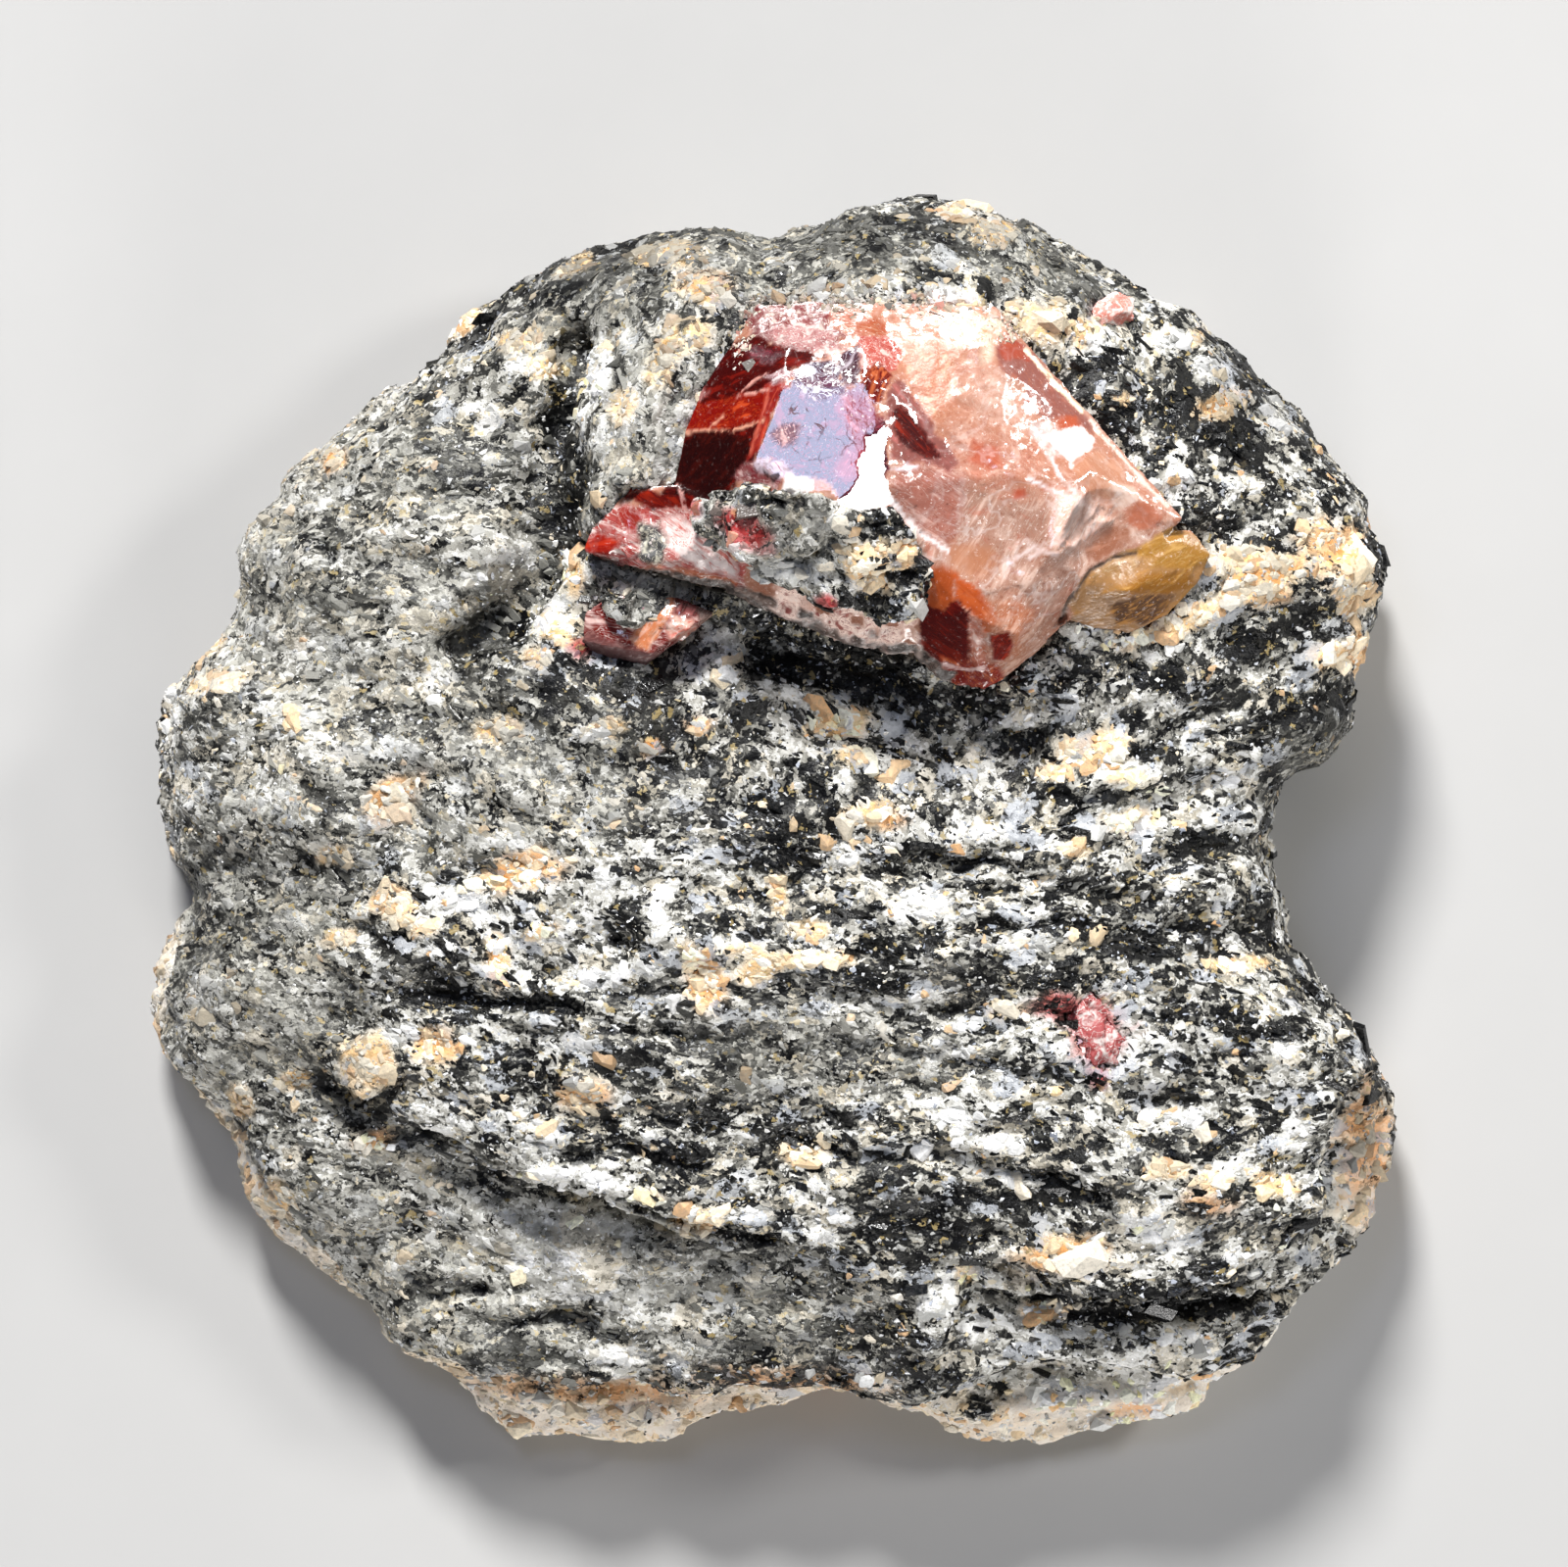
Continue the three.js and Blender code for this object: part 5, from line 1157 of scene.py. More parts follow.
# Zones of the large crystal: softness of the edge, outline, tint, accent, then clear, gloss, milk, streaks,
# streak direction in degrees, broken, sparks. Later zones lie over earlier ones.
MAIN_ZONES = [
    (0.1, [(-10, 5), (22, 5), (22, 26), (-10, 26)], (0.56, 0.24, 0.15), (0.68, 0.40, 0.29), 0.25, 0.18,
     0.35, 0.4, None, 0.12, 0.7),
    (0.9, [(5.2, 16.4), (7.0, 17.0), (9.3, 16.0), (11.5, 15.4), (13.4, 15.6), (14.4, 15.4), (15.2, 14.9),
     (17.0, 14.0), (19.2, 13.6), (15.0, 11.9), (13.8, 10.0), (11.0, 6.5), (8.0, 6.0), (5.4, 14.2)],
     (0.53, 0.28, 0.20), (0.74, 0.53, 0.44), 0.3, 0.16, 0.75, 0.7, 60, 0.08, 1.0),
    (0.5, [(6.0, 22.8), (9.3, 22.5), (9.2, 21.5), (8.6, 20.5), (8.4, 19.2), (7.4, 18.6), (6.6, 20.0),
     (6.0, 21.0)], (0.48, 0.15, 0.065), (0.64, 0.36, 0.22), 0.15, 0.5, 0.15, 0.9, None, 0.06, 0.3),
    (0.8, [(9.0, 21.8), (10.4, 21.5), (11.6, 20.8), (11.9, 19.4), (12.2, 18.4), (10.6, 18.6),
     (9.4, 19.2), (8.6, 20.4)], (0.54, 0.29, 0.21), (0.66, 0.46, 0.38), 0.1, 0.2, 0.35, 0.6, None, 0.15,
     0.8),
    (0.7, [(8.3, 18.6), (10.4, 18.4), (12.0, 17.6), (12.6, 16.6), (11.2, 15.6), (9.2, 15.9),
     (8.2, 17.2)], (0.53, 0.23, 0.155), (0.69, 0.43, 0.34), 0.2, 0.15, 0.4, 0.6, None, 0.12, 0.9),
    (0.22, [(9.4, 17.9), (10.4, 17.5), (10.7, 16.7), (10.0, 16.5), (9.3, 17.0)], (0.55, 0.13, 0.07),
     SALMON, 0.25, 0.15, 0.5, 0.3, -35, 0.1, 0.5),
    (0.15, [(11.2, 15.6), (11.9, 15.7), (12.0, 15.2), (11.4, 15.1)], (0.60, 0.12, 0.06), SALMON, 0.3,
     0.1, 0.2, 0.2, 0, 0.1, 0.3),
    (0.3, [(7.4, 23.2), (8.0, 23.9), (10.4, 23.8), (10.8, 23.3), (10.4, 22.9), (10.4, 21.7), (9.9, 21.5),
     (9.5, 22.7), (8.4, 22.9)], (0.66, 0.54, 0.41), (0.52, 0.24, 0.11), 0.0, 0.4, 0.5, 1.0, None, 0.3,
     0.8),
    (0.1, [(10.5, 21.3), (10.5, 22.3), (11.0, 22.9), (12.0, 22.4), (13.2, 20.9), (14.8, 19.0),
     (15.1, 18.2), (14.4, 18.6), (12.6, 18.9), (11.9, 19.4), (11.8, 20.5)], (0.38, 0.13, 0.10),
     (0.52, 0.17, 0.10), 0.35, 0.15, 0.15, 0.6, -50, 0.08, 0.4),
    (0.12, [(10.6, 22.2), (11.0, 22.8), (12.1, 22.3), (12.0, 21.7), (10.9, 21.6)], (0.50, 0.09, 0.05),
     SALMON, 0.35, 0.12, 0.2, 0.3, -50, 0.08, 0.2),
    (0.2, [(13.1, 19.1), (14.2, 19.0), (14.5, 18.5), (13.5, 18.4)], (0.60, 0.12, 0.05), SALMON, 0.3,
     0.12, 0.3, 0.3, -50, 0.08, 0.2),
    (0.2, [(11.9, 18.9), (13.0, 18.8), (13.6, 18.3), (13.5, 17.4), (12.9, 17.0), (12.2, 18.0)],
     (0.72, 0.54, 0.50), CLOUD, 0.1, 0.2, 0.8, 0.4, -60, 0.2, 0.5),
    (0.08, [(14.0, 16.6), (14.4, 17.1), (15.2, 17.5), (16.2, 16.9), (17.3, 15.4), (16.9, 14.9),
     (15.9, 15.1), (15.2, 15.2), (14.5, 15.6), (14.1, 16.2)], (0.60, 0.27, 0.16), (0.70, 0.42, 0.30),
     0.25, 0.12, 0.3, 0.4, -50, 0.06, 0.3),
    (0.15, [(16.0, 15.9), (16.9, 15.9), (17.4, 15.3), (16.9, 14.9), (16.3, 14.5), (15.9, 15.1)],
     (0.72, 0.48, 0.38), CLOUD, 0.1, 0.15, 0.5, 0.3, -50, 0.1, 0.3),
    (0.08, [(16.6, 14.2), (16.9, 15.0), (17.6, 15.1), (18.4, 14.5), (18.0, 13.9), (16.9, 13.9)],
     (0.56, 0.18, 0.10), SALMON, 0.3, 0.15, 0.2, 0.3, -50, 0.1, 0.2),
    (0.1, [(14.2, 13.0), (15.0, 14.0), (16.8, 13.9), (16.9, 13.2), (15.6, 12.5), (14.8, 12.2)],
     (0.47, 0.18, 0.10), (0.62, 0.32, 0.22), 0.4, 0.12, 0.2, 0.4, 20, 0.05, 0.3),
    # painted highlight: the near white patch on the east prism face
    (0.06, [(12.3, 18.2), (13.3, 18.3), (14.5, 18.6), (15.1, 18.0), (15.0, 17.5), (14.2, 17.1),
     (14.0, 16.5), (13.8, 16.9), (13.6, 17.6)], (0.93, 0.91, 0.90), CLOUD, 0.0, 0.25, 0.2, 0.0, 0, 0.3,
     0.0),
    (0.5, [(5.2, 16.1), (6.8, 16.9), (8.4, 16.6), (9.1, 15.6), (8.9, 14.2), (8.2, 12.8), (7.2, 13.4),
     (6.2, 14.3), (5.4, 15.1)], (0.46, 0.17, 0.125), (0.66, 0.42, 0.36), 0.3, 0.2, 0.35, 0.7, -30, 0.08,
     0.9),
    (0.1, [(5.3, 20.2), (6.0, 20.8), (6.5, 20.1), (7.3, 18.9), (8.6, 16.9), (8.2, 16.5), (6.8, 16.9),
     (5.5, 16.9), (5.4, 18.5)], (0.36, 0.12, 0.10), ROSE, 0.4, 0.12, 0.3, 0.6, -50, 0.12, 0.4),
    (0.08, [(5.6, 19.2), (5.9, 19.5), (6.5, 19.0), (7.3, 17.9), (7.9, 17.0), (7.0, 17.1), (6.0, 17.9)],
     (0.10, 0.008, 0.008), EMBER, 0.55, 0.08, 0.0, 0.5, -45, 0.06, 0.3),
    # painted glint: a bluish white patch below the dark core
    (0.05, [(5.6, 16.45), (6.3, 16.7), (6.9, 16.65), (6.4, 16.4)], (0.74, 0.70, 0.74), ROSE, 0.0, 0.2,
     0.3, 0.6, 10, 0.4, 0.0),
    (0.5, [(8.1, 12.7), (9.0, 13.1), (10.2, 13.0), (10.6, 12.4), (10.0, 11.5), (9.2, 11.4), (8.6, 11.7)],
     (0.62, 0.26, 0.14), (0.68, 0.40, 0.28), 0.35, 0.1, 0.2, 0.3, 60, 0.04, 0.3),
    (0.25, [(7.3, 11.9), (7.8, 12.1), (8.6, 11.6), (8.6, 10.4), (8.0, 9.8), (7.1, 10.1)],
     (0.56, 0.10, 0.02), FLAME, 0.4, 0.1, 0.0, 0.2, 60, 0.03, 0.3),
    (0.06, [(8.55, 11.6), (9.5, 11.1), (10.0, 10.4), (10.7, 9.9), (10.5, 9.1), (9.9, 8.8), (9.6, 9.5),
     (9.2, 9.9), (8.6, 10.5)], (0.72, 0.12, 0.02), FLAME, 0.45, 0.1, 0.1, 0.2, -45, 0.05, 0.4),
    (0.06, [(7.0, 10.3), (8.0, 9.9), (8.6, 10.4), (9.3, 9.8), (9.3, 8.8), (10.0, 8.1), (9.9, 7.6),
     (9.2, 7.3), (7.9, 7.65), (6.8, 8.3)], (0.14, 0.002, 0.001), EMBER, 0.45, 0.08, 0.0, 0.25, -40, 0.03,
     0.3),
    (0.1, [(9.3, 9.8), (9.75, 9.4), (9.95, 8.8), (10.2, 8.0), (10.0, 7.0), (9.4, 6.8), (9.2, 8.8)],
     (0.55, 0.16, 0.09), (0.78, 0.52, 0.44), 0.2, 0.3, 0.3, 0.9, -60, 0.2, 1.0),
    (0.6, [(10.2, 10.6), (11.4, 10.6), (12.4, 9.6), (11.6, 7.8), (10.4, 7.0), (10.2, 8.4)],
     (0.62, 0.23, 0.12), (0.78, 0.48, 0.36), 0.25, 0.15, 0.3, 0.8, 60, 0.08, 0.9),
    (0.2, [(8.0, 7.8), (9.6, 7.6), (10.6, 7.6), (11.0, 6.6), (9.6, 5.6), (8.0, 6.0)],
     (0.30, 0.02, 0.012), FLAME, 0.3, 0.2, 0.0, 0.7, -40, 0.2, 0.9),
    (0.06, [(10.2, 8.8), (11.1, 9.0), (11.4, 8.3), (10.9, 7.6), (10.3, 7.6)], (0.28, 0.012, 0.005),
     EMBER, 0.45, 0.08, 0.1, 0.5, 50, 0.06, 0.5),
    (0.1, [(14.0, 9.9), (13.9, 10.6), (15.0, 12.0), (16.9, 12.9), (18.8, 13.9), (21.5, 13.6),
     (21.5, 10.5), (17.0, 8.5), (14.0, 9.0)], (0.50, 0.25, 0.085), HONEY, 0.3, 0.35, 0.0, 0.7, 27, 0.08,
     0.5),
    (0.12, [(15.0, 11.6), (15.4, 12.1), (16.9, 12.6), (17.7, 12.4), (16.4, 11.6), (15.6, 11.4)],
     (0.42, 0.22, 0.08), (0.62, 0.46, 0.28), 0.2, 0.3, 0.15, 0.7, 27, 0.10, 0.8),
    (0.15, [(16.8, 12.7), (18.8, 13.9), (20.2, 13.2), (20.8, 12.4), (19.6, 11.9), (18.0, 12.1)],
     (0.50, 0.23, 0.03), (0.62, 0.36, 0.11), 0.3, 0.3, 0.0, 0.9, 27, 0.05, 0.5),
    (0.12, [(15.8, 10.6), (17.0, 11.6), (19.5, 11.9), (19.8, 11.2), (18.6, 10.8), (17.0, 10.2)],
     (0.48, 0.19, 0.015), (0.64, 0.36, 0.11), 0.35, 0.3, 0.0, 0.9, 27, 0.06, 0.5),
    (0.15, [(15.8, 10.4), (17.6, 10.8), (18.9, 10.7), (18.4, 9.6), (16.2, 9.2)], (0.10, 0.035, 0.006),
     (0.50, 0.22, 0.04), 0.1, 0.9, 0.0, 0.9, 27, 0.12, 0.5),
    (0.15, [(-1.1, 22.7), (-1.1, 24.0), (-0.7, 24.8), (1.8, 24.6), (3.2, 24.0), (4.0, 23.4), (3.6, 22.6),
     (2.0, 22.3), (0.4, 22.1)], (0.19, 0.025, 0.026), (0.48, 0.37, 0.32), 0.1, 0.35, 0.1, 1.0, None, 0.3,
     1.0),
    (0.2, [(2.6, 24.1), (4.2, 23.9), (5.8, 23.3), (5.6, 22.8), (4.4, 22.6), (3.0, 23.0)],
     (0.40, 0.09, 0.035), (0.52, 0.31, 0.20), 0.15, 0.25, 0.1, 0.8, -20, 0.15, 0.8),
    (0.2, [(-0.4, 22.7), (0.4, 23.2), (2.2, 23.3), (3.2, 22.6), (3.6, 22.1), (2.4, 21.9), (0.8, 21.9)],
     (0.30, 0.09, 0.085), (0.54, 0.44, 0.40), 0.0, 0.6, 0.1, 1.0, None, 0.35, 1.0),
    (0.1, [(4.0, 22.7), (5.6, 22.9), (6.1, 22.0), (5.7, 21.2), (4.1, 21.2)], (0.44, 0.08, 0.06),
     (0.74, 0.52, 0.46), 0.1, 0.25, 0.2, 0.9, None, 0.25, 0.9),
    (0.1, [(-5.2, 15.0), (-4.6, 18.2), (-3.9, 20.4), (-2.6, 22.2), (-1.0, 22.9), (0.4, 22.3),
     (2.4, 21.8), (1.0, 21.2), (0.4, 20.7), (-0.9, 16.6), (-2.5, 15.0)], (0.11, 0.002, 0.0015),
     (0.34, 0.015, 0.006), 0.6, 0.10, 0.0, 0.5, 18, 0.05, 0.3),
    (0.15, [(-4.2, 20.8), (-3.6, 20.9), (-3.1, 20.2), (-3.6, 19.5), (-4.3, 19.6)], (0.42, 0.14, 0.13),
     ROSE, 0.1, 0.4, 0.5, 0.6, 60, 0.2, 0.8),
    (0.2, [(-1.3, 22.4), (0.0, 22.2), (0.8, 21.9), (0.0, 21.4), (-1.1, 21.8)], (0.08, 0.014, 0.02),
     VIOLET, 0.3, 0.3, 0.0, 0.6, 0, 0.1, 0.3),
    (0.07, [(-4.2, 19.8), (-3.0, 19.75), (-1.5, 20.05), (-0.3, 20.1), (-0.3, 18.8), (-1.8, 18.55),
     (-4.1, 18.4)], (0.42, 0.008, 0.003), (0.72, 0.10, 0.025), 0.5, 0.10, 0.0, 0.7, 14, 0.06, 0.3),
    (0.05, [(-4.6, 16.0), (-4.1, 18.1), (-3.0, 18.35), (-1.9, 18.2), (-1.1, 17.9), (-0.9, 17.0),
     (-1.5, 16.3), (-2.5, 15.4), (-3.2, 15.0), (-4.6, 14.8)], NIGHT, EMBER, 0.7, 0.06, 0.0, 0.10, 40,
     0.02, 0.12),
    (0.06, [(-0.4, 20.6), (0.9, 20.5), (0.4, 20.0), (-0.5, 17.4), (-1.2, 16.9), (-0.9, 18.0),
     (-0.4, 19.3)], (0.34, 0.008, 0.004), (0.62, 0.07, 0.03), 0.3, 0.3, 0.0, 0.8, 68, 0.1, 0.4),
    (0.12, [(-1.9, 16.2), (-1.2, 16.9), (-0.4, 16.6), (0.5, 15.9), (0.3, 15.4), (-1.2, 15.6)],
     (0.22, 0.02, 0.028), (0.60, 0.40, 0.38), 0.2, 0.3, 0.2, 0.8, -30, 0.2, 0.5),
    (0.06, [(3.0, 21.0), (3.2, 21.9), (4.0, 22.3), (4.15, 21.2), (4.0, 20.4), (3.4, 20.4)],
     (0.07, 0.02, 0.035), (0.60, 0.52, 0.58), 0.2, 0.15, 0.1, 0.8, 60, 0.3, 0.3),
    (0.05, [(4.1, 21.2), (5.1, 21.35), (5.6, 20.9), (5.45, 20.3), (5.0, 19.4), (4.4, 19.7),
     (4.15, 20.4)], (0.24, 0.006, 0.006), FLAME, 0.5, 0.12, 0.0, 0.6, 70, 0.2, 0.6),
    (0.06, [(0.9, 20.4), (1.1, 21.0), (1.9, 21.5), (2.9, 21.6), (3.2, 21.0), (3.1, 20.2), (1.6, 20.3)],
     (0.06, 0.02, 0.04), (0.58, 0.60, 0.70), 0.0, 0.25, 0.1, 1.0, None, 0.4, 1.0),
    (0.08, [(-0.4, 20.9), (0.4, 21.15), (1.0, 21.0), (0.8, 20.55), (0.1, 20.5)], (0.22, 0.07, 0.08),
     (0.66, 0.58, 0.58), 0.0, 0.5, 0.1, 1.0, None, 0.3, 1.0),
    (0.04, [(0.45, 20.1), (1.0, 20.3), (2.3, 20.1), (4.0, 20.2), (4.5, 19.6), (5.3, 18.8), (5.4, 16.5),
     (5.3, 15.0), (4.0, 14.4), (3.0, 15.1), (2.6, 15.9), (0.9, 16.2), (0.0, 16.8), (-0.75, 17.05)],
     (0.05, 0.006, 0.016), (0.42, 0.06, 0.09), 0.2, 0.04, 0.0, 0.45, None, 0.010, 0.35),
    (0.3, [(3.1, 20.3), (4.4, 19.8), (5.3, 18.9), (4.3, 18.2), (4.2, 17.0), (3.8, 17.8), (3.3, 18.8)],
     (0.27, 0.02, 0.035), (0.50, 0.15, 0.17), 0.2, 0.17, 0.1, 0.9, -40, 0.05, 0.9),
    (0.3, [(0.0, 18.1), (0.5, 18.9), (1.3, 18.5), (1.1, 17.7), (0.4, 17.5)], (0.12, 0.012, 0.02),
     (0.70, 0.40, 0.36), 0.1, 0.3, 0.0, 1.0, None, 0.1, 0.9),
    (0.3, [(2.8, 16.6), (3.4, 17.4), (4.2, 17.2), (4.0, 16.2), (3.4, 15.9)], (0.24, 0.03, 0.05),
     (0.60, 0.16, 0.20), 0.1, 0.10, 0.0, 0.9, 60, 0.05, 0.7),
    (0.25, [(1.0, 20.4), (1.5, 19.9), (2.4, 19.7), (3.4, 20.0), (3.4, 20.8), (1.2, 20.9)],
     (0.10, 0.03, 0.06), (0.80, 0.80, 0.84), 0.0, 0.2, 0.0, 1.0, None, 0.3, 1.0),
    (0.08, [(-0.9, 16.9), (-0.2, 17.1), (0.5, 16.9), (0.9, 16.3), (0.3, 16.0), (-0.5, 16.4)],
     (0.56, 0.44, 0.50), (0.30, 0.03, 0.05), 0.0, 0.2, 0.2, 0.9, -40, 0.4, 0.0),
    (0.06, [(0.4, 15.5), (0.7, 16.15), (1.9, 16.0), (1.9, 15.5), (0.9, 15.2)], (0.94, 0.92, 0.91), CLOUD,
     0.0, 0.3, 0.0, 0.3, 0, 0.3, 0.0),
    (0.12, [(-10, 15.0), (-4.8, 15.0), (-2.6, 15.1), (-1.0, 12.2), (-1.4, 11.0), (-5.0, 10.9),
     (-10, 12.0)], (0.42, 0.07, 0.06), (0.80, 0.62, 0.57), 0.1, 0.25, 0.3, 1.0, -25, 0.28, 0.9),
    (0.15, [(-5.2, 14.3), (-4.4, 14.5), (-3.0, 13.6), (-1.4, 12.0), (-1.6, 11.5), (-3.2, 11.9),
     (-4.8, 12.9)], (0.84, 0.70, 0.66), (0.56, 0.10, 0.07), 0.0, 0.35, 0.0, 0.9, -38, 0.25, 0.7),
    (0.15, [(-9.3, 13.0), (-8.2, 13.6), (-6.9, 13.4), (-7.6, 12.7), (-8.6, 12.7)], (0.44, 0.015, 0.008),
     EMBER, 0.3, 0.15, 0.1, 0.6, 10, 0.15, 0.4),
    (0.15, [(-7.2, 14.8), (-6.2, 14.8), (-6.0, 13.6), (-6.8, 13.8)], (0.42, 0.03, 0.02), ROSE, 0.3, 0.2,
     0.4, 0.8, -50, 0.2, 0.5),
    (0.06, [(-7.0, 15.3), (-6.7, 16.2), (-6.0, 15.9), (-5.3, 15.3), (-4.2, 15.5), (-3.5, 15.1),
     (-3.8, 14.8), (-5.6, 14.8)], (0.22, 0.004, 0.002), EMBER, 0.5, 0.08, 0.0, 0.4, -30, 0.06, 0.2),
    (0.15, [(-6.2, 14.1), (-5.3, 14.2), (-4.8, 12.6), (-5.3, 11.9), (-6.3, 12.4)], (0.03, 0.03, 0.03),
     (0.60, 0.56, 0.44), 0.0, 0.6, 0.0, 1.0, None, 0.4, 1.0),
    (0.2, [(-5.5, 12.2), (-4.0, 12.0), (-1.7, 11.5), (-1.7, 10.6), (-4.0, 11.2), (-6.4, 11.9)],
     (0.62, 0.20, 0.10), (0.84, 0.66, 0.58), 0.2, 0.2, 0.2, 0.8, -15, 0.25, 0.8),
]
# Lines on the large crystal, some pale veins and red streaks, some painted highlights along edges and
# ridges: half width, colour, clear, gloss, points.
MAIN_VEINS_AND_EDGE_HIGHLIGHTS = [
    (0.12, (0.86, 0.74, 0.72), 0.0, 0.25, [(5.4, 15.2), (6.1, 14.4), (7.0, 13.5), (8.2, 12.75)]),
    (0.10, (0.88, 0.74, 0.52), 0.0, 0.3, [(11.9, 22.2), (13.2, 20.7), (14.5, 19.4)]),
    (0.08, (0.84, 0.64, 0.54), 0.1, 0.3, [(14.9, 18.9), (16.2, 17.5), (17.5, 15.9), (18.6, 14.9)]),
    (0.09, (0.84, 0.72, 0.72), 0.0, 0.2, [(12.0, 16.1), (13.2, 15.5), (14.3, 15.1), (15.1, 14.7)]),
    (0.07, (0.84, 0.72, 0.72), 0.0, 0.2, [(13.0, 17.1), (13.4, 16.2), (14.2, 15.4), (14.7, 14.9)]),
    (0.07, (0.80, 0.62, 0.58), 0.1, 0.2, [(12.0, 12.4), (12.7, 12.75), (13.2, 12.6)]),
    (0.06, (0.80, 0.62, 0.58), 0.1, 0.2, [(11.1, 12.3), (11.6, 12.5), (12.3, 13.0)]),
    (0.07, (0.76, 0.58, 0.54), 0.1, 0.2, [(13.2, 13.1), (13.6, 13.7), (13.8, 14.6)]),
    (0.06, (0.78, 0.36, 0.24), 0.1, 0.2, [(-4.0, 18.35), (-2.9, 18.5), (-2.3, 19.1)]),
    (0.06, (0.78, 0.36, 0.24), 0.1, 0.2, [(-3.0, 18.4), (-1.8, 18.35), (-0.4, 18.8)]),
    (0.05, (0.56, 0.10, 0.06), 0.1, 0.3, [(-0.1, 20.4), (-0.4, 19.3), (-0.75, 18.2), (-1.0, 17.2)]),
    (0.05, (0.74, 0.34, 0.28), 0.1, 0.2, [(-1.6, 20.0), (-1.0, 20.5), (-0.3, 21.0)]),
    (0.05, (0.74, 0.34, 0.28), 0.1, 0.2, [(-1.6, 19.95), (-0.8, 20.1), (0.0, 20.25)]),
    (0.05, (0.74, 0.38, 0.34), 0.1, 0.2, [(-4.5, 15.9), (-4.25, 15.4), (-4.1, 14.8)]),
    (0.07, (0.74, 0.48, 0.44), 0.0, 0.3, [(6.9, 8.15), (7.8, 7.6), (9.2, 7.2), (9.9, 7.4)]),
    (0.05, (0.72, 0.34, 0.24), 0.1, 0.2, [(8.6, 10.5), (9.25, 9.85), (9.7, 9.45), (9.95, 8.8)]),
]
MIRROR = [
    (0.60, 20.25), (1.0, 20.5), (2.3, 20.3), (4.2, 20.4), (4.7, 19.7), (4.8, 18.6), (4.4, 17.6),
    (4.1, 16.3), (3.4, 15.0), (2.7, 15.5), (0.9, 15.9), (0.0, 16.5), (-0.72, 17.0),
]
BEVEL = [
    (4.3, 18.1), (4.9, 18.0), (5.2, 18.5), (5.25, 18.0), (5.1, 17.0), (5.3, 16.0), (5.6, 15.0),
    (4.6, 14.6), (4.1, 14.1), (3.2, 14.7), (2.9, 15.0), (3.5, 15.4), (4.0, 16.0), (4.0, 16.9),
    (4.4, 17.4),
]
SHADED_UNDERSIDE = [
    (-9.5, 11.5), (-5.2, 12.0), (-1.5, 11.1), (1.0, 10.3), (4.0, 9.3), (7.0, 8.2), (8.6, 7.0),
    (8.0, 5.5), (-9.5, 10.0),
]
RIM = [
    (0.2, 11.4), (1.0, 11.2), (3.0, 11.0), (5.0, 10.2), (6.8, 9.6), (6.8, 8.0), (4.5, 8.5), (3.0, 8.9),
    (1.0, 9.8), (0.2, 10.2),
]
SPOT = [(1.8, 10.9), (2.6, 10.8), (3.2, 10.3), (2.9, 9.9), (2.3, 10.2)]
CRACKLED = (1.9, 19.3)
MIRROR_NORMAL = (-0.094, 0.118, 0.988)
BEVEL_NORMAL = (0.405, 0.18, 0.896)
HOLLOW = [
    (13.3, 15.6), (14.4, 15.4), (15.6, 14.9), (15.9, 14.2), (15.0, 13.4), (14.2, 12.6), (13.4, 12.4),
    (13.0, 13.6),
]
SPLIT = [(13.6, 9.6), (14.0, 10.5), (15.0, 11.9), (16.0, 12.45), (17.1, 12.7)]
SIDE_ZONES = [
    (0.2, [(-10, 9.0), (-8.4, 8.9), (-7.0, 8.4), (-5.9, 8.1), (-4.0, 7.6), (-4.0, 6.5), (-10, 6.5)],
     (0.17, 0.055, 0.05), (0.34, 0.14, 0.12), 0.1, 0.4, 0.1, 0.7, 0, 0.1, 0.2),
    (0.1, [(-6.6, 8.7), (-5.8, 8.1), (-5.2, 9.1), (-4.6, 10.1), (-4.6, 11.2), (-5.3, 11.0), (-5.7, 9.9),
     (-6.4, 9.1)], (0.76, 0.25, 0.10), PEACH, 0.2, 0.15, 0.6, 0.6, 45, 0.25, 0.5),
    (0.08, [(-4.6, 9.8), (-4.6, 11.4), (-3.4, 11.4), (-3.4, 9.8)], (0.15, 0.008, 0.006), ROSE, 0.4, 0.15,
     0.1, 0.7, 60, 0.15, 0.4),
    (0.1, [(-5.1, 9.2), (-4.6, 9.8), (-3.8, 9.6), (-3.5, 9.2), (-4.0, 8.6), (-4.8, 8.6)],
     (0.70, 0.42, 0.34), EMBER, 0.1, 0.2, 0.8, 0.7, 20, 0.3, 0.5),
    (0.1, [(-3.4, 9.2), (-3.5, 11.5), (-2.0, 11.5), (-2.0, 9.2)], (0.22, 0.13, 0.10), (0.48, 0.30, 0.25),
     0.2, 0.2, 0.2, 0.8, 60, 0.1, 0.4),
]


# how many streaks lie in a millimetre along, across and up, without and with a direction
EVEN_WAY, STREAKED_WAY = [1.5, 1.5, 1.5], [0.35, 2.2, 0.8]
# how hard a face turns its normal towards the one it is given
FIRM = 40


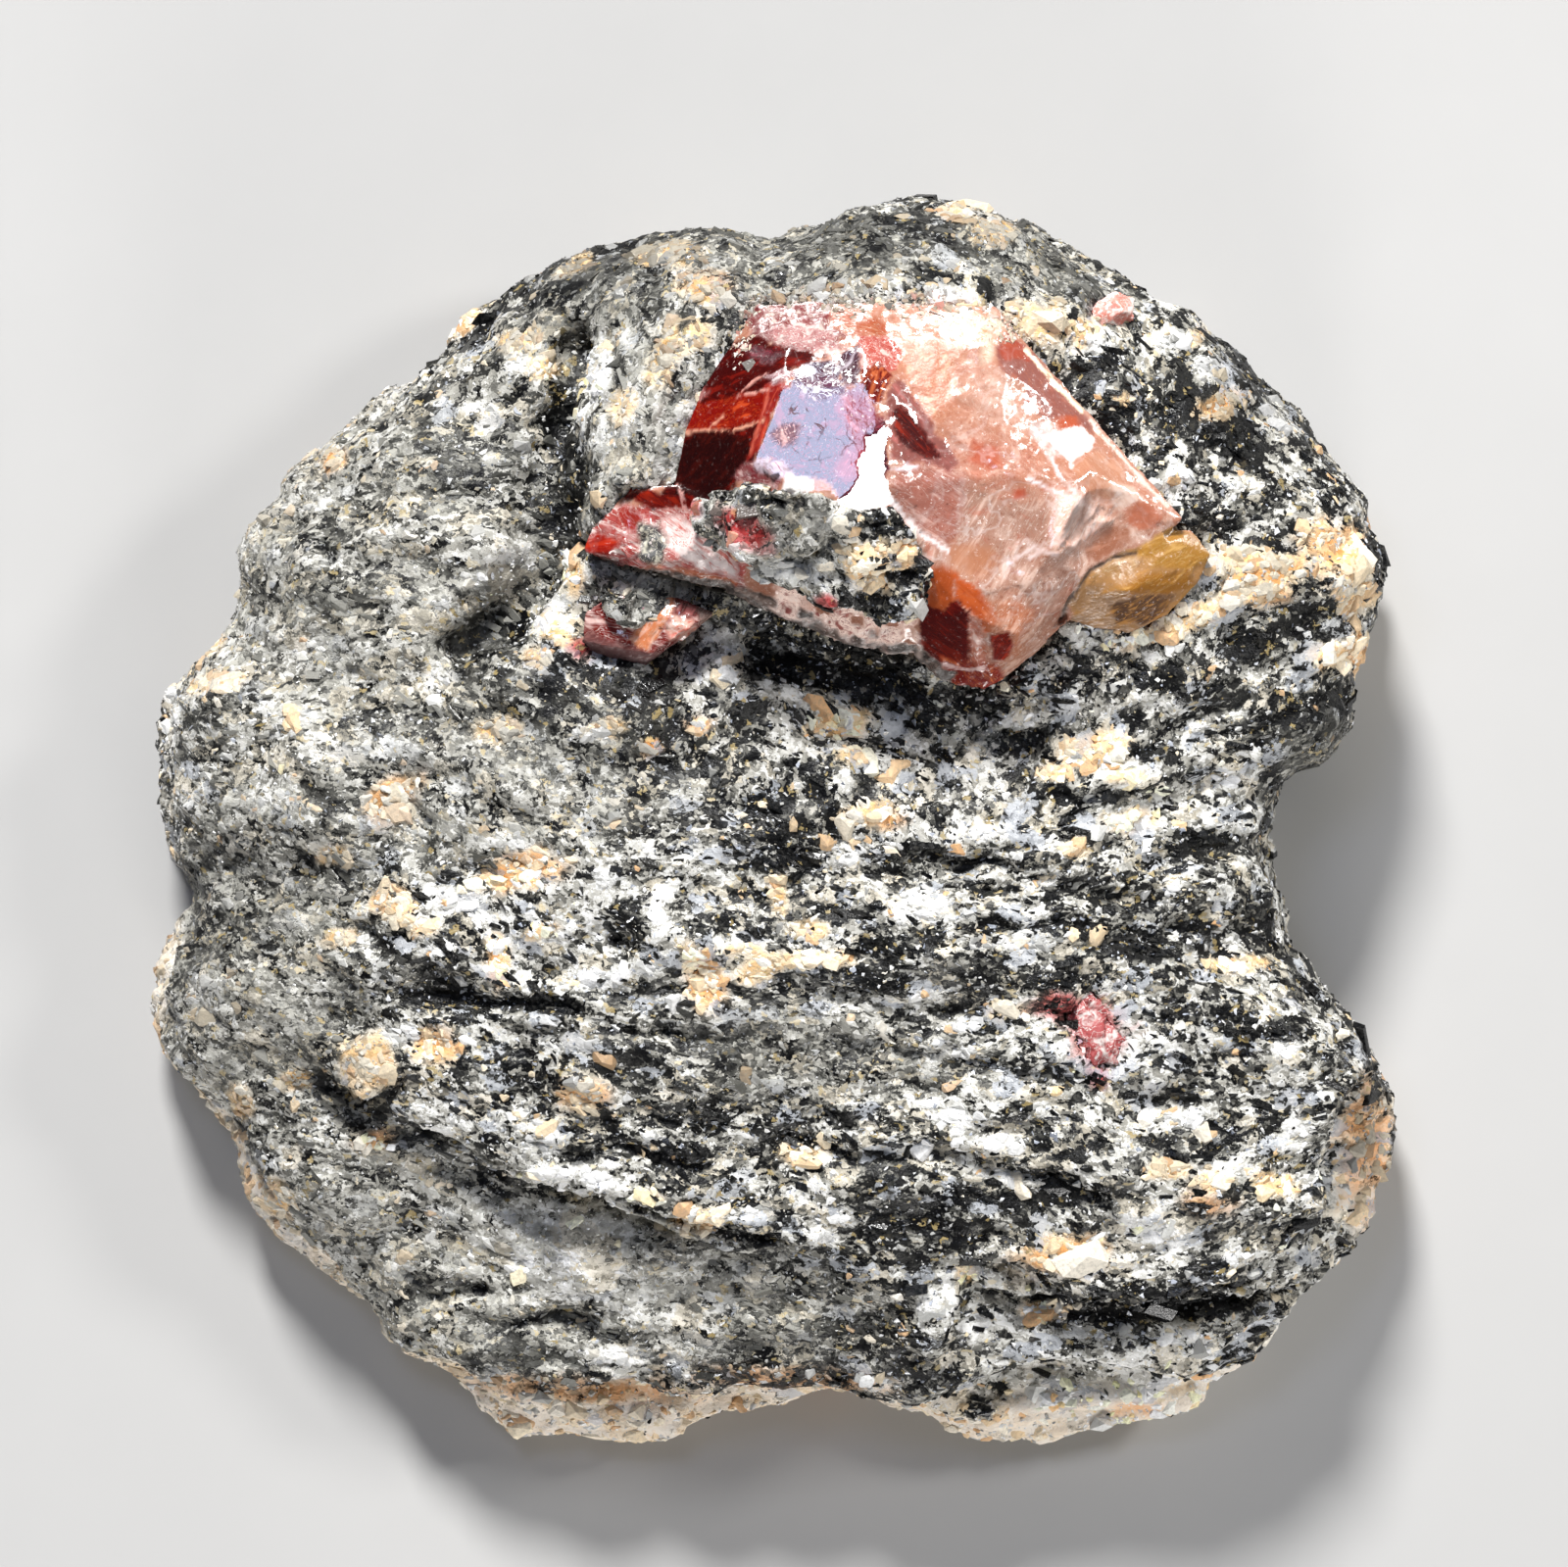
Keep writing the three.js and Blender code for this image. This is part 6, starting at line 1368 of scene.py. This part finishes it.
def paint(points, normal, name):
    """Colour, clearness and finish of a crystal at each vertex."""
    n = len(points)
    keys = ("clear", "gloss", "milk", "streaks", "broken", "sparks")
    level = {key: np.zeros(n) for key in keys}
    level["cracks"] = np.full(n, 0.15)
    tilt = np.zeros((n, 3))
    tint, accent, way = np.zeros((n, 3)), np.zeros((n, 3)), np.zeros((n, 3))
    ragged = 0.10 * wave(points / 0.7, 51) + 0.07 * wave(points / 0.25, 52)

    def lay(mask, colour, second, clear, gloss, milk, streaks, direction, broken, sparks):
        nonlocal tint, accent, way
        tint = mix(tint, np.array(colour), mask)
        accent = mix(accent, np.array(second), mask)
        c, s = math.cos(math.radians(direction or 0)), math.sin(math.radians(direction or 0))
        along = points[:, 0] * c + points[:, 1] * s
        across = points[:, 1] * c - points[:, 0] * s
        lined = np.stack([along, across, points[:, 2]], 1)
        way = mix(way, lined * (EVEN_WAY if direction is None else STREAKED_WAY), mask > 0.5)
        for key, value in zip(keys, (clear, gloss, milk, streaks, broken, sparks)):
            level[key] = level[key] + (value - level[key]) * mask

    if name == "zircon_main":
        for edge, outline, *looks in MAIN_ZONES:
            lay(inside(points, outline, ragged * (1 + 2 * edge), edge), *looks)
        for half, colour, clear, gloss, line in MAIN_VEINS_AND_EDGE_HIGHLIGHTS:
            on = smooth(half + 0.05, half - 0.02, near_line(points, line) + 0.5 * ragged)
            on = on * smooth(-0.9, -0.2, wave(points / 0.35, 54))
            lay(on, colour, colour, clear, gloss, 0, 0, 0, 0.2, 0)
        # painted shade: the steep south faces and the underside below the crystal's south edge, away from
        # the key lamp, get a dark brown-grey that also carries rock dirt
        south_west = smooth(12.6, 11.6, points[:, 1]) * smooth(9.0, 7.0, points[:, 0])
        side = smooth(0.40, 0.20, normal[:, 2]) * south_west
        side = np.maximum(side, inside(points, SHADED_UNDERSIDE, ragged))
        lay(side, (0.045, 0.028, 0.02), (0.20, 0.13, 0.10), 0.0, 0.5, 0.0, 1.0, -20, 0.25, 0.7)
        rim = inside(points, RIM, 2.5 * ragged, 0.3) * smooth(-0.65, 0.0, wave(points / 0.8, 55))
        lay(rim, (0.88, 0.68, 0.60), (0.26, 0.05, 0.04), 0.0, 0.45, 0.0, 1.0, None, 0.35, 1.0)
        tilt += rim[:, None] * np.array([0.0, -1.7, -0.5])
        lay(inside(points, SPOT, ragged), (0.18, 0.006, 0.005), EMBER, 0.3, 0.15, 0.0, 0.4, 0, 0.1, 0.4)
        mirror = inside(points, MIRROR, 0.4 * ragged, 0.05)
        level["cracks"] = level["cracks"] + 0.25 * mirror
        apart = np.hypot(points[:, 0] - CRACKLED[0], (points[:, 1] - CRACKLED[1]) * 1.3)
        level["cracks"] += 0.6 * mirror * smooth(1.5, 0.7, apart)
        tilt += mirror[:, None] * np.array(MIRROR_NORMAL) * FIRM
        bevel = inside(points, BEVEL, ragged, 0.05)
        tilt = mix(tilt, np.array(BEVEL_NORMAL) * FIRM, bevel)
        hollow = inside(points, HOLLOW, ragged, 0.5)
        tilt += hollow[:, None] * np.array([-0.5, 0.9, 1.6])
        # the hollow's paler pink is partly its own colour and partly painted light, since it faces away from
        # the key lamp
        lay(hollow * 0.8, (0.84, 0.50, 0.38), (0.92, 0.78, 0.70), 0.1, 0.3, 0.4, 0.8, 60, 0.08, 0.7)
        split = near_line(points, SPLIT)
        split = smooth(0.13, 0.03, split + 0.3 * ragged)
        lay(split, (0.07, 0.035, 0.02), UMBER, 0.0, 0.6, 0.0, 0.3, 40, 0.1, 0.0)
    elif name == "zircon_side":
        lay(np.ones(n), (0.20, 0.012, 0.010), (0.74, 0.50, 0.45), 0.15, 0.2, 0.3, 1.0, -12, 0.2, 0.5)
        for edge, outline, *looks in SIDE_ZONES:
            lay(inside(points, outline, ragged, edge), *looks)
    elif name == "zircon_small_south":
        lay(np.ones(n), (0.34, 0.045, 0.045), (0.62, 0.54, 0.51), 0.0, 0.65, 0.0, 1.0, None, 0.5, 1.0)
    else:
        lay(np.ones(n), (0.62, 0.20, 0.15), (0.80, 0.68, 0.62), 0.05, 0.35, 0.3, 1.0, None, 0.3, 1.0)
    return dict(level, tint=tint, accent=accent, way=way, tilt=tilt)


# half width of the crack's filling, how far it stays under the surface, its foot, and the least height
# of the surface that gets one
PLUG_HALF, PLUG_UNDER, PLUG_FOOT, PLUG_FROM = 1.0, 0.04, 11.5, 12.5
# faces of a bar with four corners at either end: foot and top on one side, then on the other
BAR_FACES = np.array([
    (0, 1, 3), (0, 3, 2), (4, 6, 7), (4, 7, 5), (0, 4, 5), (0, 5, 1),
    (2, 3, 7), (2, 7, 6), (1, 5, 7), (1, 7, 3), (0, 2, 6), (0, 6, 4),
], np.int32)
CRACK = [
    (12.6, 8.4), (13.4, 9.4), (13.9, 10.4), (14.5, 11.2), (15.1, 12.1), (16.2, 12.9), (17.4, 13.3),
    (18.6, 13.9),
]


def healed(points, faces):
    """The large crystal with its crack filled to just under the surface, where only its line shows."""
    tree = tree_of(points, faces)
    line = np.concatenate([np.linspace(a, b, 5)[:-1] for a, b in zip(CRACK, CRACK[1:])])
    ahead = np.gradient(line, axis=0)
    across = np.stack([-ahead[:, 1], ahead[:, 0]], axis=1)
    across = across / np.linalg.norm(ahead, axis=1, keepdims=True)
    bars = []
    for at, way in zip(line, across):
        for side in (-PLUG_HALF, PLUG_HALF):
            place = at + side * way
            hit, _ = drop(tree, *place)
            bars.append((*place, hit.z - PLUG_UNDER if hit else 0.0))
    bars = np.array(bars).reshape(-1, 2, 3)
    extra, extra_faces, start = [points], [faces], len(points)
    for a, b in zip(bars, bars[1:]):
        if min(a[:, 2].min(), b[:, 2].min()) < PLUG_FROM:
            continue
        tops = np.concatenate([a, b])
        feet = tops * [1, 1, 0] + [0, 0, PLUG_FOOT]
        extra.append(np.stack([feet, tops], axis=1).reshape(-1, 3))
        extra_faces.append(BAR_FACES + start)
        start += 8
    return np.concatenate(extra), np.concatenate(extra_faces)


def crystal(name, pitch, chips):
    """One zircon, with chips of this strength on its broken faces, and the paint its material reads."""
    shape, faces = crystal_shapes[name]
    if name == "zircon_main":
        shape, faces = healed(shape, faces)
    points, quads = remeshed(shape, faces, pitch)
    points, _, _ = nearest(tree_of(shape, faces), points, 1.0)
    normal = normals_of(points, quads)
    coats = paint(points, normal, name)
    _, gap, tag = cells(points * 0.9 + 0.35 * fractal(points, 2, 61)[:, None], 63)
    _, small_gap, small_tag = cells(points * 2.2 + 0.35 * fractal(points, 2, 62)[:, None], 67)
    up = 0.34 * (tag - 0.5) * smooth(0, 0.10, gap) + 0.14 * (small_tag - 0.5) * smooth(0, 0.12, small_gap)
    up = up * np.minimum(coats["broken"] * 3.0, 1.0)
    if name == "zircon_main":
        up = up - 0.12 * smooth(0.2, 0.05, near_line(points, SPLIT))
        up = up + 0.25 * inside(points, HOLLOW, 0.0, 0.6)
    points = points + normal * (chips * up)[:, None]
    obj = build(name.replace("zircon_", "crystal_"), points, quads, zircon)
    for key, values in coats.items():
        attribute(obj, key, values)
    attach(obj, "root")
    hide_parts(name)


for name, pitch, chips in (
    ("zircon_main", 0.148, 1.0),
    ("zircon_side", 0.12, 0.8),
    ("zircon_small_north", 0.1, 0.6),
    ("zircon_small_south", 0.1, 1.0),
):
    crystal(name, pitch, chips)

# ---------------------------------------------------------------- floor, lights and camera, in metres

FLOOR_SIZE, FLOOR_DROP = 3.0, 0.00005
bpy.ops.mesh.primitive_plane_add(size=FLOOR_SIZE, location=(0, 0, -FLOOR_DROP))
floor = bpy.context.object
floor.name = "floor"
floor.data.materials.append(floor_material())


def lamp(name, towards, distance, size, power, colour=(1, 1, 1), aim=(0.002, 0.006, 0.014)):
    """An area lamp, placed by the direction to it from the part."""
    data = bpy.data.lights.new(name, "AREA")
    data.shape, data.size, data.energy, data.color = "DISK", size, power, colour
    obj = bpy.data.objects.new(name, data)
    direction = Vector(towards).normalized()
    obj.location = Vector(aim) + direction * distance
    obj.rotation_euler = direction.to_track_quat("Z", "Y").to_euler()
    bpy.context.scene.collection.objects.link(obj)


# places on the large crystal that mirror the two small lamps
MIRROR_FACE, GLARE_FACE = (0.0026, 0.0179, 0.0243), (0.0048, 0.0168, 0.0238)
lamp("key", (-0.15, 0.74, 0.66), 1.1, 0.22, 21.4, (1.0, 0.992, 0.98))
lamp("fill", (0.12, -0.97, 0.22), 1.0, 0.4, 7.0, (1.0, 0.98, 0.96))
lamp("sky", (-0.197, 0.237, 0.95), 0.45, 0.10, 0.25, (0.62, 0.72, 1.0), MIRROR_FACE)
lamp("window", (0.72, 0.29, 0.62), 0.5, 0.10, 1.1, (1.0, 0.99, 0.97), GLARE_FACE)

# dim surroundings, brighter towards the east
WEST_GLOW, EAST_GLOW = 0.03, 0.17
world = bpy.data.worlds.new("studio")
world.use_nodes = True
nodes, links = world.node_tree.nodes, world.node_tree.links
background = nodes["Background"].inputs
background["Color"].default_value = (0.95, 0.97, 1.0, 1)
sky = nodes.new("ShaderNodeTexCoord")
parted = nodes.new("ShaderNodeSeparateXYZ")
glow = nodes.new("ShaderNodeMapRange")
for name, value in (("From Min", -1.0), ("From Max", 1.0), ("To Min", WEST_GLOW), ("To Max", EAST_GLOW)):
    glow.inputs[name].default_value = value
links.new(sky.outputs["Generated"], parted.inputs[0])
links.new(parted.outputs["X"], glow.inputs["Value"])
links.new(glow.outputs[0], background["Strength"])
bpy.context.scene.world = world

# The camera looks straight down from EYE and sees VIEW_WIDTH at the height REST, in metres.
VIEW_WIDTH, VIEW_MIDDLE, EYE, REST = 0.0744, (0.00056, 0.00188), 0.6, 0.012
SENSOR = 36.0
camera_data = bpy.data.cameras.new("camera")
camera_data.sensor_width = SENSOR
camera_data.lens = SENSOR * (EYE - REST) / VIEW_WIDTH
camera = bpy.data.objects.new("camera", camera_data)
camera.location = (*VIEW_MIDDLE, EYE)
bpy.context.scene.collection.objects.link(camera)
bpy.context.scene.camera = camera
bpy.context.scene.view_settings.view_transform = "Standard"
